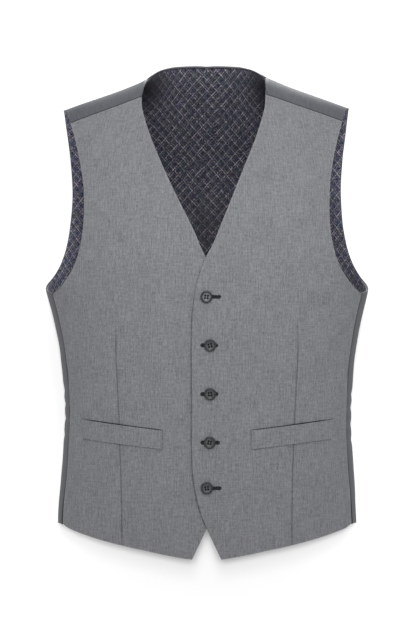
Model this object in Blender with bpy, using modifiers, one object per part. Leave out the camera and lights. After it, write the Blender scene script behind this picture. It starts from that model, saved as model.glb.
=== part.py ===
"""Single-breasted suit waistcoat, buttoned and filled out, as the pieces a tailor cuts and sews.

Units are metres. The wearer faces -Y, the wearer's left is +X and +Z is up. The origin lies midway
between the shoulders, level with the middle of the shoulder line, where the wearer holds the garment up.

Every panel lies on one general figure: a rounded section whose half width and depths change with height,
closed over by sloping shoulders. A place on it is given by t, the way round from the middle of a panel's
own side (0 at the middle, a quarter turn at the side), and z, the height.
"""

import math

import bmesh
import bpy
import numpy as np
from mathutils import Matrix, Vector

MM = 0.001

# Cloth walls and the play between pieces.
FRONT_WALL = 2.0 * MM  # suiting, canvas and facing pressed together
BACK_WALL = 1.2 * MM
LINING_WALL = 1.0 * MM
WELT_WALL = 1.3 * MM
GAP = 0.3 * MM
HALF_SEAM = GAP / 2
APPLIED_GAP = 0.45 * MM  # under the welts and buttons, whose flats bridge the front's own

# The figure that fills the garment: height, half width, depth in front and depth behind, in millimetres.
FIGURE_ROWS = [
    # z, half_width, front, back
    (-620, 194.6, 123, 110),
    (-557, 193.8, 122, 107),
    (-510, 191.6, 120, 102),
    (-460, 188.3, 118, 97),
    (-415, 186.5, 117, 94),
    (-370, 188.7, 118, 97),
    (-330, 192.9, 121, 102),
    (-285, 201.8, 124, 109),
    (-250, 210.6, 126, 114),
    (-180, 212.0, 127, 118),
    (-120, 212.0, 126, 116),
    (-50, 212.0, 123, 104),
    (0, 212.0, 120, 89),
    (45, 212.0, 118, 70),
    (100, 212.0, 116, 50),
]
SECTION_POWER = 2.3  # 2 would be an ellipse; more is squarer
FRONT_CREST_Z = -250 * MM  # the chest starts to lean back to the shoulder here
BACK_CREST_Z = -170 * MM
SHOULDER_TIP_X = 184.5 * MM
SHOULDER_TIP_Z = -18.4 * MM
SHOULDER_SLOPE = 0.36  # about 20 degrees
SHOULDER_HOLLOW_X = 117 * MM  # inside this the shoulder line starts to curve up
SHOULDER_HOLLOW = 1.32  # in 1/m
NECK_FOOT_X = 78.5 * MM  # inside this it turns up into the neck
NECK_RISE = 55.0  # in 1/m
NECK_ROUND_X = 30 * MM  # the neck's own line is rounded across the middle

# The wearer's left front edge, from the hem point up the cutaway, the fly and the V: x and z in millimetres.
FRONT_EDGE_ROWS = [
    # x, z
    (18.4, -591.7),
    (0.0, -552.8),
    (-7.8, -533.5),
    (-13.1, -514.1),
    (-16.8, -493.7),
    (-18.4, -472.0),
    (-18.8, -392.8),
    (-18.5, -296.3),
    (-17.0, -275.0),
    (-14.5, -257.5),
    (-10.2, -238.8),
    (-1.6, -215.0),
]
# The neckline above it, as half widths of the opening.
NECKLINE_ROWS = [
    # x, z
    (8.4, -196.5),
    (17.8, -175.0),
    (38.4, -129.6),
    (58.2, -83.5),
    (67.4, -59.9),
    (74.8, -35.9),
    (79.0, -19.0),
    (80.0, -4.3),
]
NECK_PULL = -4.2 * MM  # the buttoned overlap draws the opening towards the wearer's right
NECK_PULL_HEIGHT = 130 * MM
HEM_ROWS = [
    # x, z
    (18.4, -591.7),
    (48.8, -588.2),
    (90.7, -580.6),
    (114.5, -575.3),
    (152.7, -565.2),
    (186.0, -554.3),
]
FRONT_ARMHOLE_ROWS = [
    # x, z
    (197.7, -258.5),
    (184.5, -247.2),
    (169.3, -224.2),
    (159.8, -194.0),
    (155.8, -160.0),
    (156.8, -122.0),
    (162.0, -86.0),
    (169.0, -54.5),
    (174.0, -37.5),
]
BACK_ARMHOLE_ROWS = [
    # x, z
    (208.0, -243.2),
    (202.5, -235.0),
    (194.2, -218.9),
    (186.4, -194.8),
    (181.3, -162.7),
    (179.0, -122.0),
    (180.2, -78.0),
    (182.6, -46.0),
    (184.5, -18.0),
]
BACK_NECK_ROWS = [
    # x, z
    (0.0, 43.6),
    (12.0, 44.1),
    (29.1, 43.2),
    (44.9, 40.9),
    (58.6, 35.9),
    (65.5, 31.7),
    (73.0, 25.8),
    (78.5, 21.7),
]
BACK_HEM_ROWS = [
    # share of the way from the centre back to the side seam, z
    (0.0, -562.0),
    (0.5, -560.5),
    (1.0, -556.0),
]
SIDE_SEAM_SHARE = 0.949  # of the half width, on the front of the figure
UNDERARM_Z = -258.5 * MM
ARMPIT_Z = -251.2 * MM  # where the armhole passes the outermost line of the side
ARMHOLE_CORNER_Z = -227 * MM  # where the back's armhole turns from running round to running up
YOKE_MIDDLE_Z = -236 * MM
VENT_HEIGHT = 42 * MM
VENT_SPREAD = 1.0 * MM

# The dart from under the chest to the hem: height, distance from the middle and depth of its furrow.
DART_ROWS = [
    # z, x, depth
    (-600, 107.0, 1.2),
    (-513, 107.5, 1.2),
    (-456, 109.5, 1.0),
    (-420, 110.7, 1.2),
    (-371, 113.0, 1.4),
    (-330, 114.6, 0.9),
    (-292, 114.9, 0.0),
]
DART_HALF_WIDTH = 9 * MM
# The right front lies under the left one where they overlap, and comes up to its level beside it.
TUCK_DEPTH = FRONT_WALL + GAP + 0.1 * MM
TUCK_START_X = 62 * MM
TUCK_END_X = 24 * MM

# Pocket welts: the four corners on the wearer's left, in millimetres.
WELT_TOP = ((55.8, -431.2), (160.3, -419.0))
WELT_BOTTOM = ((55.5, -455.0), (157.0, -443.7))
WELT_GAPE = 0.9 * MM  # how far the mouth of the pocket stands off at its middle

# Buttons, top to bottom: x and z of each centre in millimetres.
BUTTON_ROWS = [
    # x, z
    (-0.4, -263.5),
    (4.1, -324.2),
    (4.1, -385.3),
    (3.5, -446.2),
    (0.0, -503.1),
]
BUTTON_RADIUS = 7.6 * MM
BUTTON_HEIGHT = 3.2 * MM
BUTTON_STEPS = 20
WELL_RADIUS = 4.6 * MM
WELL_DEPTH = 1.1 * MM
HOLE_RADIUS = 0.85 * MM
HOLE_SPACING = 2.9 * MM

# How finely the panels are divided.
FRONT_COLUMNS = 17
FRONT_ROWS_BELOW = 14
FRONT_ROWS_ABOVE = 13
BACK_COLUMNS_INSIDE = 10  # between the centre back and the corner of the armhole
BACK_COLUMNS_AT_NECK = 4
BACK_COLUMNS_OUTSIDE = 6
BACK_ROWS_BELOW = 11
BACK_ROWS_ABOVE = 12
CAP_ROWS = 3
# The last cell at an edge is narrow, which keeps the wall square to the cloth on both sides of a seam.
SEAM_CELL = 0.015  # shares of the front
EDGE_CELL = 0.012  # shares of the back
CAP_CELL = 0.07  # shares of the strip in front of the shoulder line
UNDERARM_SHARE = 0.5  # of a panel's height
WELT_COLUMNS = 14
WELT_ROWS = 3

GARMENT = "suit_waistcoat"


# The figure.


def smooth_step(share):
    share = np.clip(share, 0.0, 1.0)
    return share * share * (3 - 2 * share)


def through_rows(rows, column, z):
    """A value at height z, on a smooth line through a table's rows, which are sorted by their first column."""
    heights = np.array([row[0] for row in rows]) * MM
    values = np.array([row[column] for row in rows]) * MM
    z = np.clip(z, heights[0], heights[-1])
    spans = np.diff(heights)
    slopes = np.diff(values) / spans
    tangents = np.concatenate(
        [
            slopes[:1],
            (slopes[:-1] * spans[1:] + slopes[1:] * spans[:-1]) / (spans[1:] + spans[:-1]),
            slopes[-1:],
        ]
    )
    i = np.clip(np.searchsorted(heights, z) - 1, 0, len(spans) - 1)
    s = (z - heights[i]) / spans[i]
    rise = smooth_step(s)
    swing = spans[i] * s * (1 - s) * ((1 - s) * tangents[i] - s * tangents[i + 1])
    return values[i] * (1 - rise) + values[i + 1] * rise + swing


def half_width(z):
    return through_rows(FIGURE_ROWS, 1, z)


def ridge_height(x):
    """The height of the shoulder line, which turns up into the neck."""
    x = np.abs(x)
    x = np.where(x < NECK_ROUND_X, (x * x / NECK_ROUND_X + NECK_ROUND_X) / 2, x)
    slope = SHOULDER_TIP_Z + SHOULDER_SLOPE * (SHOULDER_TIP_X - x)
    hollow = SHOULDER_HOLLOW * np.maximum(0.0, SHOULDER_HOLLOW_X - x) ** 2
    return slope + hollow + NECK_RISE * np.maximum(0.0, NECK_FOOT_X - x) ** 2


def depth_share(turn, z, crest_z):
    """How much of the figure's depth is left at this turn and height: 1 at the middle of the chest."""
    across = np.abs(np.sin(turn))
    round_the_side = np.maximum(0.0, 1 - across**SECTION_POWER) ** (1 / SECTION_POWER)
    rise = np.clip((z - crest_z) / (ridge_height(half_width(z) * across) - crest_z), 0.0, 1.0)
    return round_the_side * np.sqrt(1 - rise * rise)


def front_point(turn, z):
    x = half_width(z) * np.sin(turn)
    y = -through_rows(FIGURE_ROWS, 2, z) * depth_share(turn, z, FRONT_CREST_Z)
    return np.stack([x, y, z], axis=-1)


def back_point(turn, z):
    """The same for the back, whose turn passes a quarter where the cloth comes round to the front."""
    x = half_width(z) * np.sin(turn)
    behind = through_rows(FIGURE_ROWS, 3, z) * depth_share(turn, z, BACK_CREST_Z)
    before = -through_rows(FIGURE_ROWS, 2, z) * depth_share(turn, z, FRONT_CREST_Z)
    return np.stack([x, np.where(turn <= math.pi / 2, behind, before), z], axis=-1)


def turn_of(x, z):
    return np.arcsin(np.clip(x / half_width(z), -1.0, 1.0))


def seam_turn(z, clearance):
    """The side seam's turn on the front of the figure, moved towards the middle front by a clearance."""
    turn = math.asin(SIDE_SEAM_SHARE) + 0 * z
    step = 0.001
    length = np.linalg.norm(front_point(turn + step, z) - front_point(turn, z), axis=-1) / step
    return turn - clearance / length


# Curves and patches.


def smooth_curve(points, steps=10):
    """Points on a Catmull-Rom curve through the given ones."""
    points = np.asarray(points, float)
    padded = np.vstack([2 * points[0] - points[1], points, 2 * points[-1] - points[-2]])
    found = []
    for i in range(len(points) - 1):
        before, start, end, after = padded[i : i + 4]
        chord = np.linalg.norm(end - start)
        leave = (end - before) * chord / (chord + np.linalg.norm(start - before))
        arrive = (after - start) * chord / (chord + np.linalg.norm(after - end))
        for s in np.arange(steps) / steps:
            rise = s * s * (3 - 2 * s)
            swing = s * (1 - s) * ((1 - s) * leave - s * arrive)
            found.append(start * (1 - rise) + end * rise + swing)
    found.append(points[-1])
    return np.array(found)


def along(curve, shares):
    """Points at the given shares of a curve's length."""
    lengths = np.concatenate([[0], np.cumsum(np.linalg.norm(np.diff(curve, axis=0), axis=1))])
    at = np.asarray(shares) * lengths[-1]
    return np.stack([np.interp(at, lengths, curve[:, k]) for k in range(curve.shape[1])], axis=-1)


class Side:
    """One side of a patch: curves end to end, each taking up a stated stretch of the shares."""

    def __init__(self, curves, joints):
        self.curves = curves
        self.joints = [0.0, *joints, 1.0]

    def at(self, shares):
        shares = np.asarray(shares, float)
        found = np.zeros((len(shares), self.curves[0].shape[1]))
        for curve, start, end in zip(self.curves, self.joints, self.joints[1:]):
            inside = (shares >= start) & (shares <= end)
            found[inside] = along(curve, (shares[inside] - start) / (end - start))
        return found


def patch(bottom, top, inner, outer, u, v):
    """A Coons patch between four sides, as an array of rows of (turn, z)."""
    low, high = bottom.at(u)[None, :, :], top.at(u)[None, :, :]
    near, far = inner.at(v)[:, None, :], outer.at(v)[:, None, :]
    u, v = np.asarray(u)[None, :, None], np.asarray(v)[:, None, None]
    corners = (1 - v) * ((1 - u) * low[:, :1] + u * low[:, -1:]) + v * (
        (1 - u) * high[:, :1] + u * high[:, -1:]
    )
    return (1 - u) * near + u * far + (1 - v) * low + v * high - corners


def split(count, first=0.0, last=0.0):
    """Shares from 0 to 1 in even cells, with a narrow one at either end where asked."""
    shares = np.linspace(0.0, 1.0, count + 1)
    ends = ([0.0] if first else [], [1.0] if last else [])
    inner = first + shares * (1 - first - last)
    return np.concatenate([ends[0], inner, ends[1]])


def crowded(count):
    """Shares from 0 to 1 whose cells grow smaller towards 1, where the cloth turns over the shoulder."""
    return 1 - (1 - np.linspace(0.0, 1.0, count + 1)) ** 1.6


def to_turns(rows):
    """A table's x and z as a curve of turns and heights."""
    curve = smooth_curve([(x * MM, z * MM) for x, z in rows])
    return np.stack([turn_of(curve[:, 0], curve[:, 1]), curve[:, 1]], axis=-1)


# Fronts.


def neck_pull(z):
    start = FRONT_EDGE_ROWS[-1][1] * MM
    return NECK_PULL * smooth_step((z - start) / NECK_PULL_HEIGHT)


def tucked_under(points):
    """Moves the wearer's right front in beneath the left one, where they overlap."""
    share = smooth_step((TUCK_START_X - points[..., 0]) / (TUCK_START_X - TUCK_END_X))
    points[..., 1] += TUCK_DEPTH * share
    return points


def darted(points):
    """Moves a front's points in along its dart."""
    dart_x = through_rows(DART_ROWS, 1, points[..., 2])
    depth = through_rows(DART_ROWS, 2, points[..., 2])
    points[..., 1] += depth * np.exp(-(((points[..., 0] - dart_x) / DART_HALF_WIDTH) ** 2))
    return points


def front_grid(wearers_left):
    """A front's outer points, drawn for the wearer's left. The right one is its mirror image."""
    pull_side = 1 if wearers_left else -1
    edge = smooth_curve([(x * MM, z * MM) for x, z in FRONT_EDGE_ROWS + NECKLINE_ROWS])
    edge[:, 0] += pull_side * neck_pull(edge[:, 1])
    edge = np.stack([turn_of(edge[:, 0], edge[:, 1]), edge[:, 1]], axis=-1)
    tip = np.argmin(np.abs(edge[:, 1] - FRONT_EDGE_ROWS[-1][1] * MM))
    shoulder_end = FRONT_ARMHOLE_ROWS[-1]
    neck_end = (edge[-1, 0], edge[-1, 1])
    seam = np.linspace(
        (half_width(neck_end[1]) * math.sin(neck_end[0]), neck_end[1] - HALF_SEAM),
        (shoulder_end[0] * MM, shoulder_end[1] * MM - HALF_SEAM),
        24,
    )
    seam = np.stack([turn_of(seam[:, 0], seam[:, 1]), seam[:, 1]], axis=-1)
    edge[-1] = seam[0]
    armhole = to_turns(FRONT_ARMHOLE_ROWS)
    armhole[-1] = seam[-1]
    heights = np.linspace(HEM_ROWS[-1][1] * MM, UNDERARM_Z, 24)
    side = np.stack([seam_turn(heights, HALF_SEAM), heights], axis=-1)
    armhole[0] = side[-1]
    hem = to_turns(HEM_ROWS)
    hem[-1] = side[0]
    u = split(FRONT_COLUMNS, last=SEAM_CELL)
    below = split(FRONT_ROWS_BELOW) * UNDERARM_SHARE
    above = UNDERARM_SHARE + split(FRONT_ROWS_ABOVE, last=SEAM_CELL)[1:] * (1 - UNDERARM_SHARE)
    turns = patch(
        Side([hem], []),
        Side([seam], []),
        Side([edge[: tip + 1], edge[tip:]], [UNDERARM_SHARE]),
        Side([side, armhole], [UNDERARM_SHARE]),
        u,
        np.concatenate([below, above]),
    )
    points = darted(front_point(turns[..., 0], turns[..., 1]))
    return points if wearers_left else tucked_under(points)


# Back and lining.


def armhole_of_back():
    """The edge from the side seam round under the arm and up to the shoulder line, and where it turns up."""
    top = seam_turn(np.array([UNDERARM_Z]), -HALF_SEAM)[0]
    rows = to_turns(BACK_ARMHOLE_ROWS)
    under = smooth_curve([(math.pi - top, UNDERARM_Z), (math.pi / 2, ARMPIT_Z), rows[0]])
    edge = np.concatenate([under[:-1], rows])
    edge[-1, 1] = ridge_height(BACK_ARMHOLE_ROWS[-1][0] * MM)
    edge[-1, 0] = turn_of(BACK_ARMHOLE_ROWS[-1][0] * MM, edge[-1, 1])
    return edge, int(np.argmin(np.abs(edge[:, 1] - ARMHOLE_CORNER_Z)))


def back_below(armhole, corner, yoke):
    """The back below the yoke line and the armhole."""
    hem_z = BACK_HEM_ROWS[-1][1] * MM
    heights = np.linspace(hem_z, UNDERARM_Z, 40)
    vent = VENT_SPREAD * (1 - smooth_step((heights - hem_z) / VENT_HEIGHT))
    side = np.stack([math.pi - seam_turn(heights, -HALF_SEAM - vent), heights], axis=-1)
    middle_z = np.linspace(BACK_HEM_ROWS[0][1] * MM, yoke[0, 1], 24)
    middle = np.stack([turn_of(HALF_SEAM, middle_z), middle_z], axis=-1)
    hem = np.array([(share * side[0, 0], z * MM) for share, z in BACK_HEM_ROWS])
    hem[0] = middle[0]
    joint = BACK_COLUMNS_INSIDE / (BACK_COLUMNS_INSIDE + BACK_COLUMNS_OUTSIDE)
    inside = split(BACK_COLUMNS_INSIDE, first=EDGE_CELL, last=EDGE_CELL) * joint
    outside = joint + split(BACK_COLUMNS_OUTSIDE, last=SEAM_CELL)[1:] * (1 - joint)
    return patch(
        Side([smooth_curve(hem)], []),
        Side([yoke, armhole[corner::-1]], [joint]),
        Side([middle], []),
        Side([side], []),
        np.concatenate([inside, outside]),
        split(BACK_ROWS_BELOW, first=EDGE_CELL, last=EDGE_CELL),
    )


def back_above(armhole, corner, yoke):
    """The back from the yoke line up to the neckline and the shoulder line."""
    neck = to_turns(BACK_NECK_ROWS)
    middle_z = np.linspace(yoke[0, 1], neck[0, 1], 24)
    middle = np.stack([turn_of(HALF_SEAM, middle_z), middle_z], axis=-1)
    neck[0] = middle[-1]
    neck[-1, 1] = ridge_height(BACK_NECK_ROWS[-1][0] * MM)
    ridge_x = np.linspace(BACK_NECK_ROWS[-1][0] * MM, BACK_ARMHOLE_ROWS[-1][0] * MM, 24)
    ridge_z = ridge_height(ridge_x)
    ridge = np.stack([turn_of(ridge_x, ridge_z), ridge_z], axis=-1)
    columns = split(BACK_COLUMNS_INSIDE, first=EDGE_CELL, last=EDGE_CELL)
    return patch(
        Side([yoke], []),
        Side([neck, ridge], [columns[1 + BACK_COLUMNS_AT_NECK]]),
        Side([middle], []),
        Side([armhole[corner:]], []),
        columns,
        crowded(BACK_ROWS_ABOVE),
    )


def cap_points(ridge, wearers_left):
    """Rows from the shoulder line forward to the shoulder seam, one column for each point of the ridge."""
    neck_x, neck_z = NECKLINE_ROWS[-1]
    neck_x = neck_x * MM + (1 if wearers_left else -1) * NECK_PULL
    tip_x, tip_z = FRONT_ARMHOLE_ROWS[-1]
    x = ridge[:, 0]
    share = (x - x[0]) / (x[-1] - x[0])
    seam_x = neck_x + share * (tip_x * MM - neck_x)
    seam_z = neck_z * MM + share * (tip_z - neck_z) * MM + HALF_SEAM
    fall = ridge_height(seam_x) - seam_z
    rows = [ridge]
    for q in split(CAP_ROWS, last=CAP_CELL)[1:]:
        row_x = x + q * (seam_x - x)
        row_z = ridge_height(row_x) - q * q * fall
        rows.append(front_point(turn_of(row_x, row_z), row_z))
    return np.array(rows)


def back_grids(wearers_left):
    """The back's outer points: below the yoke line, above it, and in front of the shoulder line."""
    armhole, corner = armhole_of_back()
    yoke = np.linspace((turn_of(HALF_SEAM, YOKE_MIDDLE_Z), YOKE_MIDDLE_Z), armhole[corner], 24)
    below, above = (
        back_point(turns[..., 0], turns[..., 1])
        for turns in (back_below(armhole, corner, yoke), back_above(armhole, corner, yoke))
    )
    return below, above, cap_points(above[-1, 1 + BACK_COLUMNS_AT_NECK :], wearers_left)


def lining_grids(wearers_left):
    """The back lining is cut like the back, less the last cell at its hem, side, armhole and shoulder seam."""
    below, above, cap = back_grids(wearers_left)
    inside = above.shape[1] - 1
    return below[1:-1, :-1], below[-2:, :inside], above[:, :-1], cap[:-1, :-1]


# Welts and buttons.


def welt_grid(wearers_left):
    """A welt's inner points: the front's own, with the pocket's mouth standing off a little."""
    u = split(WELT_COLUMNS)[None, :, None]
    v = split(WELT_ROWS)[:, None, None]
    top = np.array(WELT_TOP) * MM
    bottom = np.array(WELT_BOTTOM) * MM
    flat = (1 - v) * ((1 - u) * bottom[0] + u * bottom[1]) + v * ((1 - u) * top[0] + u * top[1])
    x, z = flat[..., 0], flat[..., 1]
    points = front_point(turn_of(x, z), z)
    points[..., 1] -= (WELT_GAPE * np.sin(math.pi * u) * v * v)[..., 0]
    return points if wearers_left else tucked_under(points)


def button_profile():
    """The turned outline, from the middle of the well over the rim to the middle of the back."""
    top = BUTTON_HEIGHT
    return [
        # radius, height
        (0.0, top - WELL_DEPTH),
        (WELL_RADIUS, top - WELL_DEPTH),
        (WELL_RADIUS + 0.6 * MM, top - 0.3 * MM),
        (WELL_RADIUS + 1.3 * MM, top),
        (BUTTON_RADIUS - 0.7 * MM, top - 0.1 * MM),
        (BUTTON_RADIUS, top - 0.9 * MM),
        (BUTTON_RADIUS, 1.1 * MM),
        (BUTTON_RADIUS - 1.6 * MM, 0.0),
        (0.0, 0.0),
    ]


def button_mesh(cutters):
    """A four-hole button with a raised rim, its back on the plane of its origin."""
    outline = bmesh.new()
    corners = [outline.verts.new((radius, 0.0, height)) for radius, height in button_profile()]
    for start, end in zip(corners, corners[1:]):
        outline.edges.new((start, end))
    blank = new_object("button_blank", outline, cutters)
    turning = blank.modifiers.new("turned", "SCREW")
    turning.axis = "Z"
    turning.steps = BUTTON_STEPS
    turning.render_steps = BUTTON_STEPS
    turning.use_merge_vertices = True
    turning.merge_threshold = 0.01 * MM
    drills = bmesh.new()
    for side_x in (-0.5, 0.5):
        for side_y in (-0.5, 0.5):
            place = Matrix.Translation((side_x * HOLE_SPACING, side_y * HOLE_SPACING, BUTTON_HEIGHT / 2))
            bmesh.ops.create_cone(
                drills,
                cap_ends=True,
                segments=8,
                radius1=HOLE_RADIUS,
                radius2=HOLE_RADIUS,
                depth=2 * BUTTON_HEIGHT,
                matrix=place,
            )
    drill = new_object("button_drill", drills, cutters)
    holes = blank.modifiers.new("holes", "BOOLEAN")
    holes.operation = "DIFFERENCE"
    holes.solver = "EXACT"
    holes.object = drill
    bpy.context.view_layer.update()
    graph = bpy.context.evaluated_depsgraph_get()
    mesh = bpy.data.meshes.new_from_object(blank.evaluated_get(graph))
    mesh.name = "four_hole_button"
    bpy.data.objects.remove(blank)
    bpy.data.objects.remove(drill)
    return mesh


def button_place(x, z):
    """Where a button's back lies on the wearer's left front, and which way it looks."""
    turn, step = float(turn_of(x, z)), 0.01
    middle, beside, above = (
        Vector(front_point(turn + a, z + b)) for a, b in ((0.0, 0.0), (step, 0.0), (0.0, step))
    )
    outward = (beside - middle).cross(above - middle).normalized()
    return middle + outward * APPLIED_GAP, outward.to_track_quat("Z", "Y").to_euler()


# Objects.


def new_collection(name):
    collection = bpy.data.collections.new(name)
    bpy.context.scene.collection.children.link(collection)
    return collection


def new_object(name, shape, collection):
    mesh = bpy.data.meshes.new(name)
    shape.to_mesh(mesh)
    shape.free()
    made = bpy.data.objects.new(name, mesh)
    collection.objects.link(made)
    return made


def new_material(name, colour, roughness):
    made = bpy.data.materials.new(name)
    made.use_nodes = True
    shader = made.node_tree.nodes["Principled BSDF"]
    shader.inputs["Base Color"].default_value = (*colour, 1.0)
    shader.inputs["Roughness"].default_value = roughness
    shader.inputs["Metallic"].default_value = 0.0
    return made


def add_grid(shape, points):
    """Adds a sheet of cells whose corners are the rows and columns of points."""
    rows, columns = points.shape[:2]
    sheet = bmesh.ops.create_grid(shape, x_segments=columns - 1, y_segments=rows - 1, size=0.5)
    for vert in sheet["verts"]:
        column = round((vert.co.x + 0.5) * (columns - 1))
        row = round((vert.co.y + 0.5) * (rows - 1))
        vert.co = points[row, column]


def face_outwards(shape):
    bmesh.ops.recalc_face_normals(shape, faces=shape.faces)
    outward = 0.0
    for face in shape.faces:
        middle = face.calc_center_median()
        outward += face.calc_area() * face.normal.dot(Vector((middle.x, middle.y, 0.0)))
    if outward < 0:
        bmesh.ops.reverse_faces(shape, faces=shape.faces)


def cloth_piece(name, grids, wearers_left, wall, lift, material, collection):
    """A wall of cloth. Its drawn points lie on its outer face, or, if lifted off, on its inner one."""
    shape = bmesh.new()
    for points in grids:
        add_grid(shape, points * (1 if wearers_left else -1, 1, 1))
    bmesh.ops.remove_doubles(shape, verts=shape.verts, dist=0.001 * MM)
    face_outwards(shape)
    piece = new_object(name, shape, collection)
    piece.data.materials.append(material)
    piece.data.shade_smooth()
    if lift:
        shift = piece.modifiers.new("lift", "DISPLACE")
        shift.strength = lift
        shift.mid_level = 0.0
    thickness = piece.modifiers.new("wall", "SOLIDIFY")
    thickness.thickness = wall
    thickness.offset = 1.0 if lift > 0 else -1.0
    return piece


def main():
    for leftover in list(bpy.data.objects):
        bpy.data.objects.remove(leftover)
    pieces = new_collection(GARMENT)
    cutters = new_collection("cutters")
    cutters.hide_render = True
    suiting = new_material("grey_wool_suiting", (0.21, 0.21, 0.22), 0.85)
    satin = new_material("grey_satin", (0.10, 0.10, 0.10), 0.5)
    trellis = new_material("charcoal_lining", (0.045, 0.045, 0.06), 0.55)
    resin = new_material("charcoal_resin", (0.03, 0.03, 0.035), 0.4)

    for side, wearers_left in (("left", True), ("right", False)):
        front = [front_grid(wearers_left)]
        back = back_grids(wearers_left)
        lining = lining_grids(wearers_left)
        welt = [welt_grid(wearers_left)]
        lining_lift = -(BACK_WALL + GAP)
        cloth_piece(f"front_{side}", front, wearers_left, FRONT_WALL, 0.0, suiting, pieces)
        cloth_piece(f"back_{side}", back, wearers_left, BACK_WALL, 0.0, satin, pieces)
        cloth_piece(f"back_lining_{side}", lining, wearers_left, LINING_WALL, lining_lift, trellis, pieces)
        cloth_piece(f"pocket_welt_{side}", welt, wearers_left, WELT_WALL, APPLIED_GAP, suiting, pieces)

    turned = button_mesh(cutters)
    turned.materials.append(resin)
    for number, (x, z) in enumerate(BUTTON_ROWS, start=1):
        button = bpy.data.objects.new(f"button_{number}", turned)
        button.location, button.rotation_euler = button_place(x * MM, z * MM)
        pieces.objects.link(button)


main()
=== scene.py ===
"""Suit waistcoat: its cloth, sewing, buttons and a plain studio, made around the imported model.

Units are metres. The wearer faces -Y, the wearer's left is +X and +Z is up. Every panel lies on one general
figure. A place on it is given by its turn (0 at the middle of the panel's own side, a quarter at the side of
the body) and by its height, and tables give sizes in millimetres.
"""

import math

import bmesh
import bpy
import numpy as np
from mathutils import Matrix, Vector


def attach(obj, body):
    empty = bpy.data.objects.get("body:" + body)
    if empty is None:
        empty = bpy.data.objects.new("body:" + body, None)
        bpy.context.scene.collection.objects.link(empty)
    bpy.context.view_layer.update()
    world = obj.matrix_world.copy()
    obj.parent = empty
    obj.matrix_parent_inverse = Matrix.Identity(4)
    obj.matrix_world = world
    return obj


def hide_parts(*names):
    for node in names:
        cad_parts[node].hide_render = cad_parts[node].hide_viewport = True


bl_info = {
    "name": "Suit Waistcoat",
    "version": (1, 0, 0),
    "blender": (4, 5, 0),
    "location": "View3D > Sidebar > Waistcoat",
    "description": "Makes the cloth, sewing and buttons of a suit waistcoat, and a studio for it",
    "category": "Object",
}

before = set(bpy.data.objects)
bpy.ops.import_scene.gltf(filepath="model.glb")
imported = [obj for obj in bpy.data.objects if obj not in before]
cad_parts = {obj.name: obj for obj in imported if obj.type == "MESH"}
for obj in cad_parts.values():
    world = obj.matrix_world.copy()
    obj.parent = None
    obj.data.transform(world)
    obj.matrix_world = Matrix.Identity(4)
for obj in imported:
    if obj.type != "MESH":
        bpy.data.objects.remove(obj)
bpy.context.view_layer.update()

MM = 0.001
# Each side of the body, and which way it lies from the middle.
SIDES = (("left", 1), ("right", -1))

# Cloth walls and the play between pieces.
FRONT_WALL = 2.0 * MM
BACK_WALL = 1.2 * MM
LINING_WALL = 1.0 * MM
WELT_WALL = 1.1 * MM
GAP = 0.3 * MM
HALF_SEAM = GAP / 2
HALF_CENTRE_SEAM = 0.03 * MM
WELT_LIFT = 0.3 * MM
WELT_ROUND_SHARE = 0.6  # of the rounding of other edges
BUTTON_LIFT = 0.45 * MM

# The figure that fills the garment.
FIGURE_ROWS = [
    # z, half_width, front, back
    (-620, 194.6, 123, 110),
    (-557, 193.8, 122, 107),
    (-510, 191.6, 120, 102),
    (-460, 188.3, 118, 97),
    (-415, 186.5, 117, 94),
    (-370, 188.7, 118, 97),
    (-330, 192.9, 121, 102),
    (-285, 201.8, 124, 109),
    (-250, 210.6, 126, 114),
    (-180, 212.0, 127, 118),
    (-120, 212.0, 126, 116),
    (-50, 212.0, 123, 104),
    (0, 212.0, 120, 89),
    (45, 212.0, 118, 70),
    (100, 212.0, 116, 50),
]
SECTION_POWER = 2.3
MEAN_RADII = np.array([0.212, 0.122, math.inf])  # for the level direction out of the figure
FRONT_CREST_Z = -250 * MM
BACK_CREST_Z = -170 * MM
SHOULDER_TIP_X = 184.5 * MM
SHOULDER_TIP_Z = -18.4 * MM
SHOULDER_SLOPE = 0.36
NECK_CORNER = (76.0, 22.0, 6.0)  # where the lining turns under the foot of the neck
SHOULDER_HOLLOW_X = 117 * MM
SHOULDER_HOLLOW = 1.32
NECK_FOOT_X = 78.5 * MM
NECK_RISE = 55.0
NECK_ROUND_X = 30 * MM

# The cut.
FRONT_EDGE_ROWS = [
    # x, z, from the hem point up the cutaway and the buttoned edge to the foot of the V
    (18.4, -591.7),
    (0.0, -552.8),
    (-7.8, -533.5),
    (-13.1, -514.1),
    (-16.8, -493.7),
    (-18.4, -472.0),
    (-18.8, -392.8),
    (-18.5, -296.3),
    (-17.0, -275.0),
    (-14.5, -257.5),
    (-10.2, -238.8),
    (-1.6, -215.0),
]
NECKLINE_ROWS = [
    # x, z
    (8.4, -196.5),
    (17.8, -175.0),
    (38.4, -129.6),
    (58.2, -83.5),
    (67.4, -59.9),
    (74.8, -35.9),
    (79.0, -19.0),
    (80.0, -4.3),
]
NECK_PULL = -4.2 * MM
NECK_PULL_HEIGHT = 130 * MM
UNDER_SLACK = 2.4 * MM  # how far the tucked front falls away at the foot of the V
UNDER_SLACK_Z = -212 * MM
UNDER_SLACK_REACH = 16 * MM
HEM_ROWS = [
    # x, z
    (18.4, -591.7),
    (48.8, -588.2),
    (90.7, -580.6),
    (114.5, -575.3),
    (152.7, -565.2),
    (186.0, -554.3),
]
FRONT_ARMHOLE_ROWS = [
    # x, z
    (197.7, -258.5),
    (184.5, -247.2),
    (169.3, -224.2),
    (159.8, -194.0),
    (155.8, -160.0),
    (156.8, -122.0),
    (162.0, -86.0),
    (169.0, -54.5),
    (174.0, -37.5),
]
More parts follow.
